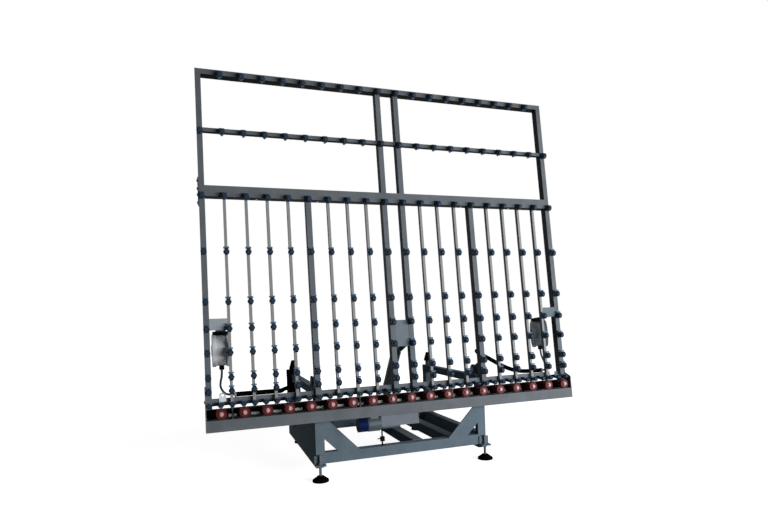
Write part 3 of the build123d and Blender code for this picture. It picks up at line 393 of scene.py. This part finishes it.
def deselectAll():
    bpy.ops.object.select_all(action="DESELECT")


def insetFaces(thickMm, **how):
    bpy.ops.mesh.inset(thickness=thickMm / 1000.0, **how)


def pushFaces(acrossMm):
    # Extrudes the picked faces along the local x axis
    bpy.ops.mesh.extrude_region_move(TRANSFORM_OT_translate={"value": (acrossMm / 1000.0, 0.0, 0.0)})


def pickFaces(piece, wanted):
    bpy.ops.object.mode_set(mode="EDIT")
    bpy.ops.mesh.select_mode(type="FACE")
    bpy.ops.mesh.select_all(action="DESELECT")
    bpy.ops.object.mode_set(mode="OBJECT")
    for face in piece.data.polygons:
        face.select = wanted(face)
    bpy.ops.object.mode_set(mode="EDIT")


def bevelEdges(piece, wanted, offsetMm, segments):
    # Rounds the edges whose two ends pass the test
    bpy.ops.object.mode_set(mode="EDIT")
    bpy.ops.mesh.select_mode(type="EDGE")
    bpy.ops.mesh.select_all(action="DESELECT")
    bpy.ops.object.mode_set(mode="OBJECT")
    for edge in piece.data.edges:
        first, second = [piece.data.vertices[index].co for index in edge.vertices]
        edge.select = wanted(first, second)
    bpy.ops.object.mode_set(mode="EDIT")
    bpy.ops.mesh.bevel(offset=offsetMm / 1000.0, segments=segments)
    bpy.ops.object.mode_set(mode="OBJECT")


def addBlock(sizeMm, centreMm):
    deselectAll()
    bpy.ops.mesh.primitive_cube_add(size=0.001, location=Vector(centreMm) / 1000.0)
    block = bpy.context.active_object
    block.scale = sizeMm
    bpy.ops.object.transform_apply(location=True, rotation=True, scale=True)
    return block


def addDrum(radiusMm, longMm, centreMm, sides):
    # A drum along the local x axis
    deselectAll()
    bpy.ops.mesh.primitive_cylinder_add(
        vertices=sides, radius=radiusMm / 1000.0, depth=longMm / 1000.0, location=Vector(centreMm) / 1000.0,
        rotation=(0.0, math.pi / 2.0, 0.0))
    bpy.ops.object.transform_apply(location=True, rotation=True, scale=True)
    return bpy.context.active_object


def joinPieces(parts):
    deselectAll()
    for part in parts:
        part.select_set(True)
    bpy.context.view_layer.objects.active = parts[0]
    bpy.ops.object.join()
    return bpy.context.active_object


def copyTo(source, places):
    copies = []
    for place in places:
        copy = source.copy()
        copy.data = source.data.copy()
        copy.data.transform(place)
        bpy.context.collection.objects.link(copy)
        copies.append(copy)
    bpy.data.objects.remove(source)
    return copies


def settle(piece, name, finishName, slotName, body, *replaced):
    if piece.mode == "EDIT":
        bpy.ops.object.mode_set(mode="OBJECT")
    piece.name = name
    piece.data.materials.clear()
    piece.data.materials.append(finishes[finishName])
    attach(piece, body)
    if replaced:
        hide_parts(*replaced)


# Roller chain: flat link plates with a bush, laid along both loops
chainSettings = {
    "pitchMm": 15.0, "wideMm": 4.6, "bushMm": 2.4, "bushSides": 8,
    "plateHighMm": 7.0, "plateThickMm": 1.2, "plateLongShare": 1.35, "plateRoundShare": 0.32,
    "bandRadiusMm": 28.8, "longOutMm": 5.5, "shortOutMm": 12.5, "driveHeightMm": 400.0}


def chainLink(settings):
    parts = []
    side = (settings["wideMm"] - settings["plateThickMm"]) / 2.0
    long = settings["pitchMm"] * settings["plateLongShare"]
    rounding = settings["plateHighMm"] * settings["plateRoundShare"]
    for shift in (-side, side):
        plate = addBlock((long, settings["plateHighMm"], settings["plateThickMm"]), (0.0, 0.0, shift))
        bevelEdges(plate, lambda a, b: runsAlong(a, b, "z"), rounding, 1)
        parts.append(plate)
    deselectAll()
    bpy.ops.mesh.primitive_cylinder_add(
        vertices=settings["bushSides"], radius=settings["bushMm"] / 1000.0,
        depth=settings["wideMm"] / 1000.0, location=(settings["pitchMm"] / 2000.0, 0.0, 0.0))
    parts.append(bpy.context.active_object)
    return joinPieces(parts)


def loopPlaces(first, second, out, settings):
    # Places along a band round two centres in the rack plane
    run = second - first
    radius = settings["bandRadiusMm"]
    along = run.normalized()
    side = Vector((-along.y, along.x))
    total = 2.0 * run.length + math.tau * radius
    count = 2 * round(total / settings["pitchMm"] / 2.0)
    places = []
    for index in range(count):
        step = total * index / count
        if step < run.length:
            spot = first + along * step - side * radius
            heading = along
        elif step < run.length + math.pi * radius:
            turn = (step - run.length) / radius
            spot = second - side * radius * math.cos(turn) + along * radius * math.sin(turn)
            heading = along * math.cos(turn) + side * math.sin(turn)
        elif step < 2.0 * run.length + math.pi * radius:
            spot = second - along * (step - run.length - math.pi * radius) + side * radius
            heading = -along
        else:
            turn = (step - 2.0 * run.length - math.pi * radius) / radius
            spot = first + side * radius * math.cos(turn) - along * radius * math.sin(turn)
            heading = -along * math.cos(turn) - side * math.sin(turn)
        forward = rackAcross * heading.x + rackUp * heading.y
        seat = rackPoint(spot.x, spot.y, out)
        places.append(placeAt(seat, forward, rackNormal.cross(forward), rackNormal))
    return places


rollerReach = (rackSettings["columns"] - 2) / 2.0 * rackSettings["pitchMm"]
rollerLine = rackSettings["rollerHeightMm"]
chainPlaces = loopPlaces(
    Vector((-rollerReach, rollerLine)), Vector((rollerReach, rollerLine)), chainSettings["longOutMm"],
    chainSettings)
chainPlaces += loopPlaces(
    Vector((0.0, chainSettings["driveHeightMm"])), Vector((0.0, rollerLine)), chainSettings["shortOutMm"],
    chainSettings)
chain = joinPieces(copyTo(chainLink(chainSettings), chainPlaces))
settle(chain, "chainLinks", "chain_steel", "chain_steel", "rack", "drive_chain")
print("stage: chain links,", len(chainPlaces))


# Motor: cooling fins round the body, and a fan cap with a slotted end
motorSettings = {
    "centreUpMm": 390.0, "fromMm": -320.0, "toMm": -235.0, "radiusMm": 49.5, "finHighMm": 4.5, "sides": 72}
capSettings = {
    "fromMm": -399.0, "toMm": -329.0, "radiusMm": 52.0, "rimMm": 7.0, "slotRimMm": 1.2, "slotDeepMm": 4.0,
    "sides": 40}
motorPlace = placeAt(rackPoint(0.0, motorSettings["centreUpMm"], 0.0), rackAcross, rackUp, rackNormal)


def drumBetween(settings):
    middle = (settings["fromMm"] + settings["toMm"]) / 2.0
    long = settings["toMm"] - settings["fromMm"]
    return addDrum(settings["radiusMm"], long, (middle, 0.0, 0.0), settings["sides"])


fins = drumBetween(motorSettings)
sideFaces = [face.index for face in fins.data.polygons if abs(face.normal.x) < shapeTests["endNormal"]]
finFaces = set(sideFaces[::2])
pickFaces(fins, lambda face: face.index in finFaces)
bpy.ops.mesh.extrude_faces_move(TRANSFORM_OT_shrink_fatten={"value": motorSettings["finHighMm"] / 1000.0})
bpy.ops.object.mode_set(mode="OBJECT")
fins.data.transform(motorPlace)
settle(fins, "motorFins", "motor_silver", "motor_silver", "rack")

cap = drumBetween(capSettings)
pickFaces(cap, lambda face: closesEnd(face, -1.0))
insetFaces(capSettings["rimMm"])
bpy.ops.mesh.poke()
bpy.ops.object.mode_set(mode="OBJECT")
wedges = [face.index for face in cap.data.polygons if face.select]
openWedges = set(wedges[::2])
pickFaces(cap, lambda face: face.index in openWedges)
insetFaces(capSettings["slotRimMm"], use_individual=True)
pushFaces(capSettings["slotDeepMm"])
bpy.ops.object.mode_set(mode="OBJECT")
cap.data.transform(motorPlace)
settle(cap, "fanCap", "cap_blue", "cap_blue", "rack", "motor_cap")
print("stage: motor")


# Wheel brackets: a pale tongue with a cap over the wheel, and a fork with the wheel pin
# in a dark navy copy of the same powder coat, painted shade beneath the cap
bracketSettings = {
    "tongueMm": 18.0, "tongueRoundShare": 0.4, "capMm": 39.0, "capReachMm": 24.0, "capRoundShare": 0.12,
    "forkMm": 38.0, "forkRoundMm": 0.6, "cheekRoundShare": 0.4, "sheetMm": 3.0,
    "pinMm": 5.0, "pinOverMm": 4.0, "pinSides": 8,
    "usual": {"aboveMm": 36.0, "belowMm": 22.0, "cheekMm": 20.0, "forwardMm": 28.0, "capHighMm": 10.0},
    "rail": {"aboveMm": 28.0, "belowMm": 22.0, "cheekMm": 20.0, "forwardMm": 28.0, "capHighMm": 3.0},
    "low": {"aboveMm": 21.0, "belowMm": 12.0, "cheekMm": 14.0, "forwardMm": 36.0, "capHighMm": 3.0},
    "standoff": {"wideMm": 26.0, "deepMm": 30.0, "lowMm": -4.5, "roundMm": 2.0}}


def bracketCap(settings, size):
    sheet = settings["sheetMm"]
    high = size["aboveMm"] + size["belowMm"]
    tongue = addBlock((settings["tongueMm"], high, sheet), (0.0, size["aboveMm"] - high / 2.0, sheet / 2.0))
    bevelEdges(tongue, lambda a, b: runsAlong(a, b, "z") and a.y < 0.0,
               settings["tongueMm"] * settings["tongueRoundShare"], 2)
    hood = addBlock((settings["capMm"], size["capHighMm"], settings["capReachMm"]),
                    (0.0, size["aboveMm"] - size["capHighMm"] / 2.0, settings["capReachMm"] / 2.0))
    bevelEdges(hood, lambda a, b: runsAlong(a, b, "y") and liesAhead(a),
               settings["capMm"] * settings["capRoundShare"], 2)
    return joinPieces([tongue, hood])


def bracketFork(settings, size, standoff=None):
    sheet = settings["sheetMm"]
    reach = size["forwardMm"] + 2.0 * settings["pinMm"]
    parts = [addBlock((settings["forkMm"], size["cheekMm"], sheet), (0.0, 0.0, sheet / 2.0))]
    bevelEdges(parts[0], lambda a, b: liesAhead(a) and liesAhead(b), settings["forkRoundMm"], 1)
    for side in (-1.0, 1.0):
        cheek = addBlock((sheet, size["cheekMm"], reach),
                         (side * (settings["forkMm"] - sheet) / 2.0, 0.0, reach / 2.0))
        bevelEdges(cheek, lambda a, b: runsAlong(a, b, "x") and liesAhead(a),
                   size["cheekMm"] * settings["cheekRoundShare"], 2)
        parts.append(cheek)
    parts.append(addDrum(settings["pinMm"], settings["forkMm"] + settings["pinOverMm"],
                         (0.0, 0.0, size["forwardMm"]), settings["pinSides"]))
    if standoff:
        high = size["aboveMm"] - standoff["lowMm"]
        post = addBlock((standoff["wideMm"], high, standoff["deepMm"]),
                        (0.0, standoff["lowMm"] + high / 2.0, -standoff["deepMm"] / 2.0))
        bevelEdges(post, lambda a, b: runsAlong(a, b, "z"), standoff["roundMm"], 1)
        parts.append(post)
    return joinPieces(parts)


def placesAcross(seat, spread):
    return [placeAt(seat + rackAcross * across / 1000.0, rackAcross, rackUp, rackNormal)
            for across in spread]


columnPlaces = [columnAcross(index) for index in range(rackSettings["columns"])]
betweenPlaces = [columnAcross(index + 0.5) for index in range(rackSettings["columns"] - 1)]
# The bracket of each row and its places across; the top row leaves the corners free
rowBrackets = {
    "wheel_row_top": ("rail", columnPlaces[1:-1]), "wheel_row_upper": ("rail", columnPlaces),
    "wheel_row_middle": ("rail", columnPlaces), "wheel_row_bottom": ("low", columnPlaces)}
bracketPlaces = {"usual": [], "rail": [], "low": [], "standoff": []}
for name, place in spinPlace.items():
    if name.startswith("wheel_row"):
        kind, spread = rowBrackets.get(name, ("usual", columnPlaces))
        seat = place[0] - rackNormal * bracketSettings[kind]["forwardMm"] / 1000.0
        bracketPlaces[kind] += placesAcross(seat, spread)
        if kind == "low":
            bracketPlaces["standoff"] += placesAcross(seat, betweenPlaces)
caps = []
forks = []
for kind, spots in bracketPlaces.items():
    size = bracketSettings["low" if kind == "standoff" else kind]
    caps += copyTo(bracketCap(bracketSettings, size), spots)
    standoff = bracketSettings["standoff"] if kind == "standoff" else None
    forks += copyTo(bracketFork(bracketSettings, size, standoff), spots)
settle(joinPieces(caps), "bracketCaps", "bracket_blue", "bracket_blue", "rack", "wheel_brackets")
settle(joinPieces(forks), "bracketForks", "forkShadedNavy", "bracket_blue", "rack", "wheel_brackets")
print("stage: wheel brackets,", sum(len(spots) for spots in bracketPlaces.values()))


# Hose reels: a pale drum between two rimmed flanges, dark side discs, a mounting block and a hose outlet
reelSettings = {
    "acrossMm": 1330.0, "heightMm": 996.0, "behindMm": 150.0, "swivelDegrees": {-1: 0.0, 1: 28.0},
    "drumMm": 108.0, "wideMm": 124.0,
    "flangeMm": 115.0, "flangeWideMm": 26.0, "dishMm": 6.0, "rimRoundMm": 3.0,
    "discMm": 104.0, "discGapMm": 1.0, "discThickMm": 4.0, "discInMm": 4.0,
    "hubMm": 40.0, "hubRiseMm": 6.0, "hubRimMm": 12.0, "hubDishMm": 3.0,
    "mountMm": (112.0, 60.0), "mountTopMm": 134.0, "outletMm": (34.0, 40.0), "outletLowMm": -138.0,
    "blockRoundMm": 6.0, "sides": 48}


def reelShell(settings):
    half = settings["wideMm"] / 2.0
    parts = [addDrum(settings["drumMm"], settings["wideMm"] - settings["flangeWideMm"], (0.0, 0.0, 0.0),
                     settings["sides"])]
    for side in (-1.0, 1.0):
        flange = addDrum(settings["flangeMm"], settings["flangeWideMm"],
                         (side * (half - settings["flangeWideMm"] / 2.0), 0.0, 0.0), settings["sides"])
        pickFaces(flange, lambda face: closesEnd(face, side))
        insetFaces(settings["flangeMm"] - settings["discMm"])
        pushFaces(-side * settings["dishMm"])
        bpy.ops.object.mode_set(mode="OBJECT")
        inRim = (settings["flangeMm"] + settings["discMm"]) / 2000.0
        bevelEdges(flange, lambda a, b: not runsAlong(a, b, "x") and a.yz.length > inRim
                   and b.yz.length > inRim, settings["rimRoundMm"], 2)
        parts.append(flange)
    return joinPieces(parts)


def reelSides(settings):
    half = settings["wideMm"] / 2.0
    parts = []
    for side in (-1.0, 1.0):
        disc = addDrum(settings["discMm"] - settings["discGapMm"], settings["discThickMm"],
                       (side * (half - settings["discInMm"]), 0.0, 0.0), settings["sides"])
        pickFaces(disc, lambda face: closesEnd(face, side))
        insetFaces(settings["discMm"] - settings["hubMm"])
        pushFaces(side * settings["hubRiseMm"])
        insetFaces(settings["hubRimMm"])
        pushFaces(-side * settings["hubDishMm"])
        bpy.ops.object.mode_set(mode="OBJECT")
        parts.append(disc)
    return joinPieces(parts)


def reelFittings(settings):
    low = settings["drumMm"]
    mount = addBlock((*settings["mountMm"], settings["mountTopMm"] - low),
                     (0.0, 0.0, (settings["mountTopMm"] + low) / 2.0))
    bevelEdges(mount, lambda a, b: runsAlong(a, b, "z"), settings["blockRoundMm"], 2)
    middle = (settings["outletLowMm"] - low) / 2.0
    outlet = addBlock((*settings["outletMm"], -low - settings["outletLowMm"]), (0.0, 0.0, middle))
    bevelEdges(outlet, lambda a, b: max(a.z, b.z) < middle / 1000.0, settings["blockRoundMm"], 2)
    return joinPieces([mount, outlet])


reelPlaces = []
for side, swivel in reelSettings["swivelDegrees"].items():
    turn = math.radians(swivel)
    axle = rackAcross * math.cos(turn) + rackNormal * math.sin(turn)
    seat = rackPoint(side * reelSettings["acrossMm"], reelSettings["heightMm"], -reelSettings["behindMm"])
    reelPlaces.append(placeAt(seat, axle, rackUp.cross(axle), rackUp))
for name, makeReel, finishName in (
        ("reelShells", reelShell, "reel_grey"), ("reelSideDiscs", reelSides, "foot_black"),
        ("reelFittings", reelFittings, "foot_black")):
    reelPieces = joinPieces(copyTo(makeReel(reelSettings), reelPlaces))
    settle(reelPieces, name, finishName, "reel_grey", "rack", "hose_reels")
print("stage: hose reels")


# Black plugs pressed into the open ends of the long rails
plugSettings = {
    "halfWideMm": 1443.0, "thickMm": 3.0, "highMm": 33.0, "deepMm": 53.0, "roundMm": 4.0, "outMm": -30.0,
    "railsUpMm": (2994.0, 2134.0, 2094.0)}
plug = addBlock((plugSettings["thickMm"], plugSettings["highMm"], plugSettings["deepMm"]), (0.0, 0.0, 0.0))
bevelEdges(plug, lambda a, b: runsAlong(a, b, "x"), plugSettings["roundMm"], 2)
plugPlaces = []
for side in (-1.0, 1.0):
    for up in plugSettings["railsUpMm"]:
        seat = rackPoint(side * plugSettings["halfWideMm"], up, plugSettings["outMm"])
        plugPlaces.append(placeAt(seat, rackAcross, rackUp, rackNormal))
settle(joinPieces(copyTo(plug, plugPlaces)), "railPlugs", "foot_black", "foot_black", "rack")
print("stage: rail plugs")


# Hoses and conduits: smooth lines through the points of their routes
cordSettings = {
    "hose": {"diameterMm": 16.0, "stiffness": "limp", "lay": "hanging", "lengthM": 0.27},
    "conduitRight": {"diameterMm": 34.0, "stiffness": "medium", "lay": "loose", "lengthM": 0.707},
    "conduitLeft": {
        "diameterMm": 34.0, "stiffness": "medium", "lay": "loose", "lengthM": 1.352,
        "bendMm": (-1235.0, -930.0)}}
cordShape = {"ringSteps": 5, "alongSteps": 10, "order": 3, "weldMm": 0.01}
hoseRoute = [
    (-1330.0, 857.7, -150.0), (-1331.0, 815.0, -150.0), (-1342.0, 775.0, -143.0), (-1345.0, 740.0, -126.0),
    (-1330.0, 708.0, -100.0), (-1304.0, 683.0, -52.0), (-1255.3, 683.0, -52.0)]
conduitRightRoute = [
    (1255.0, 683.0, -52.0), (1140.0, 683.0, -52.0), (1045.0, 688.0, -54.0), (965.0, 708.0, -66.0),
    (883.0, 752.0, -92.0), (798.0, 818.0, -138.0), (675.0, 884.0, -138.0), (675.0, 884.0, -60.3)]
conduitLeftStart = [(-1255.0, 683.0, -52.0), (-1130.0, 683.0, -52.0), (-999.0, 683.0, -53.0)]
conduitLeftBack = [
    (-930.0, 181.0, 665.7), (-893.0, 371.0, 642.7), (-856.0, 591.0, 618.7), (-795.0, 821.0, 597.7),
    (-712.0, 991.0, 586.7), (-674.0, 1076.0, 583.7), (-674.0, 1145.7, 583.7)]


def readLine(cord):
    # Points along the middle of a cord, from its own spline without the thickness
    depth = cord.data.bevel_depth
    cord.data.bevel_depth = 0.0
    line = bpy.data.meshes.new_from_object(cord)
    points = [tuple(vertex.co) for vertex in line.vertices]
    bpy.data.meshes.remove(line)
    cord.data.bevel_depth = depth
    return points


def bendCord(cord):
    # Turns the cord into a mesh tube with its doubled points welded, fixed in world place
    deselectAll()
    cord.select_set(True)
    bpy.context.view_layer.objects.active = cord
    bpy.ops.object.convert(target="MESH")
    bpy.ops.object.mode_set(mode="EDIT")
    bpy.ops.mesh.select_all(action="SELECT")
    bpy.ops.mesh.remove_doubles(threshold=cordShape["weldMm"] / 1000.0)
    bpy.ops.object.mode_set(mode="OBJECT")
    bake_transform(cord)


def layCord(name, points, settings, slotName, body, node):
    curve = bpy.data.curves.new(name, "CURVE")
    curve.dimensions = "3D"
    curve.bevel_depth = settings["diameterMm"] / 2000.0
    curve.bevel_resolution = cordShape["ringSteps"]
    curve.resolution_u = cordShape["alongSteps"]
    curve.use_fill_caps = True
    spline = curve.splines.new("NURBS")
    spline.points.add(len(points) - 1)
    for target, point in zip(spline.points, points):
        target.co = (*point, 1.0)
    spline.order_u = cordShape["order"]
    spline.use_endpoint_u = True
    cord = bpy.data.objects.new(name, curve)
    bpy.context.collection.objects.link(cord)
    curve.materials.append(finishes[slotName])
    path = None
    if "bendMm" in settings:
        path = readLine(cord)
        bendCord(cord)
    else:
        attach(cord, body)
    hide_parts(node)


layCord("hoseLeft", [rackPoint(*spot) for spot in hoseRoute], cordSettings["hose"],
        "hose_green", "rack", "hose_left")
layCord("hoseRight", [rackPoint(-spot[0], spot[1], spot[2]) for spot in hoseRoute], cordSettings["hose"],
        "hose_green", "rack", "hose_right")
layCord("conduitRight", [rackPoint(*spot) for spot in conduitRightRoute], cordSettings["conduitRight"],
        "black_rubber", "rack", "conduit_right")
conduitLeftRoute = [rackPoint(*spot) for spot in conduitLeftStart]
conduitLeftRoute += [basePoint(*spot) for spot in conduitLeftBack]
layCord("conduitLeft", conduitLeftRoute, cordSettings["conduitLeft"], "black_rubber", "base", "conduit_left")
print("stage: hoses and conduits")


def seenDirectly(tree):
    # One for rays of the camera, mirrors and glass, and none for the others
    ray = addNode(tree, "ShaderNodeLightPath")
    seen = ray.outputs["Is Camera Ray"]
    for kind in ("Is Glossy Ray", "Is Transmission Ray"):
        seen = addNode(tree, "ShaderNodeMath", {"operation": "MAXIMUM"}, {
            0: seen, 1: ray.outputs[kind]}).outputs["Value"]
    return seen


# Pale floor: white to the eye and to mirrors, with the shadow kept near the trolley, and dim to other light
floorSettings = {
    "sizeM": 60.0, "dropM": 0.0005, "tone": "#e9eaeb", "dimTone": "#3a3b3c",
    "nearGlow": 0.88, "nearM": 2.4, "farM": 6.0}
deselectAll()
bpy.ops.mesh.primitive_plane_add(size=floorSettings["sizeM"], location=(0.0, 0.0, -floorSettings["dropM"]))
floor = bpy.context.active_object
floor.name = "floor"
material, tree, place = startMaterial("paleFloor")
eye = seenDirectly(tree)
away = addNode(tree, "ShaderNodeVectorMath", {"operation": "LENGTH"}, {0: place})
glow = addNode(tree, "ShaderNodeMapRange", {}, {
    "Value": away.outputs["Value"], "From Min": floorSettings["nearM"], "From Max": floorSettings["farM"],
    "To Min": floorSettings["nearGlow"], "To Max": 1.0})
glowSeen = addNode(tree, "ShaderNodeMath", {"operation": "MULTIPLY"}, {
    0: glow.outputs["Result"], 1: eye})
tone = addNode(tree, "ShaderNodeMixRGB", {}, {
    "Fac": eye, "Color1": linearColour(floorSettings["dimTone"]),
    "Color2": linearColour(floorSettings["tone"])})
matt = addNode(tree, "ShaderNodeBsdfDiffuse", {}, {"Color": tone.outputs["Color"]})
shine = addNode(tree, "ShaderNodeEmission", {}, {"Strength": glowSeen.outputs["Value"]})
both = addNode(tree, "ShaderNodeAddShader", {}, {0: matt.outputs["BSDF"], 1: shine.outputs["Emission"]})
addNode(tree, "ShaderNodeOutputMaterial", {}, {"Surface": both.outputs["Shader"]})
floor.data.materials.append(material)

# White surroundings to the eye and to mirrors, a low even light on everything else
worldSettings = {"level": 0.06}
world = bpy.data.worlds.new("softStudio")
bpy.context.scene.world = world
world.use_nodes = True
tree = world.node_tree
tree.nodes.clear()
bright = addSpan(tree, seenDirectly(tree), (worldSettings["level"], 1.0))
sky = addNode(tree, "ShaderNodeBackground", {}, {"Color": linearColour("#ffffff"), "Strength": bright})
addNode(tree, "ShaderNodeOutputWorld", {}, {"Surface": sky.outputs["Background"]})

# A broad low lamp at the front right and a weak one behind, both turned to the middle of the trolley
lampAim = Vector((0.0, -0.3, 1.2))
lampSettings = {
    "key": {"place": (3.3, -5.4, 1.35), "sizeM": (5.0, 1.4), "power": 425.0},
    "back": {"place": (1.5, 6.0, 2.0), "sizeM": (4.0, 3.0), "power": 70.0}}
for name, settings in lampSettings.items():
    lamp = bpy.data.lights.new(name, "AREA")
    lamp.energy = settings["power"]
    lamp.shape = "RECTANGLE"
    lamp.size, lamp.size_y = settings["sizeM"]
    holder = bpy.data.objects.new(name, lamp)
    holder.location = settings["place"]
    aim = lampAim - holder.location
    holder.rotation_euler = aim.to_track_quat("-Z", "Y").to_euler()
    bpy.context.collection.objects.link(holder)

# The camera of the photo: level, turned and rolled, with the picture shifted in height
cameraSettings = {
    "placeMm": (-1438.9, -3688.6, 1194.0), "turnDegrees": 18.86, "rollDegrees": -2.0,
    "focalPx": 527.5, "widePx": 768.0, "shiftPx": 51.8, "sensorMm": 36.0, "farM": 200.0}
turn = math.radians(cameraSettings["turnDegrees"])
roll = math.radians(cameraSettings["rollDegrees"])
ahead = Vector((math.sin(turn), math.cos(turn), 0.0))
level = Vector((math.cos(turn), -math.sin(turn), 0.0))
rightWay = level * math.cos(roll) + floorUp * math.sin(roll)
upWay = floorUp * math.cos(roll) - level * math.sin(roll)
lens = bpy.data.cameras.new("photoCamera")
lens.sensor_width = cameraSettings["sensorMm"]
lens.sensor_fit = "HORIZONTAL"
lens.lens = cameraSettings["focalPx"] / cameraSettings["widePx"] * cameraSettings["sensorMm"]
lens.shift_y = cameraSettings["shiftPx"] / cameraSettings["widePx"]
lens.clip_end = cameraSettings["farM"]
camera = bpy.data.objects.new("photoCamera", lens)
bpy.context.collection.objects.link(camera)
camera.matrix_world = placeAt(basePoint(*cameraSettings["placeMm"]), rightWay, upWay, -ahead)
bpy.context.scene.camera = camera
bpy.context.scene.view_settings.view_transform = "Standard"
print("stage: floor, light and camera")
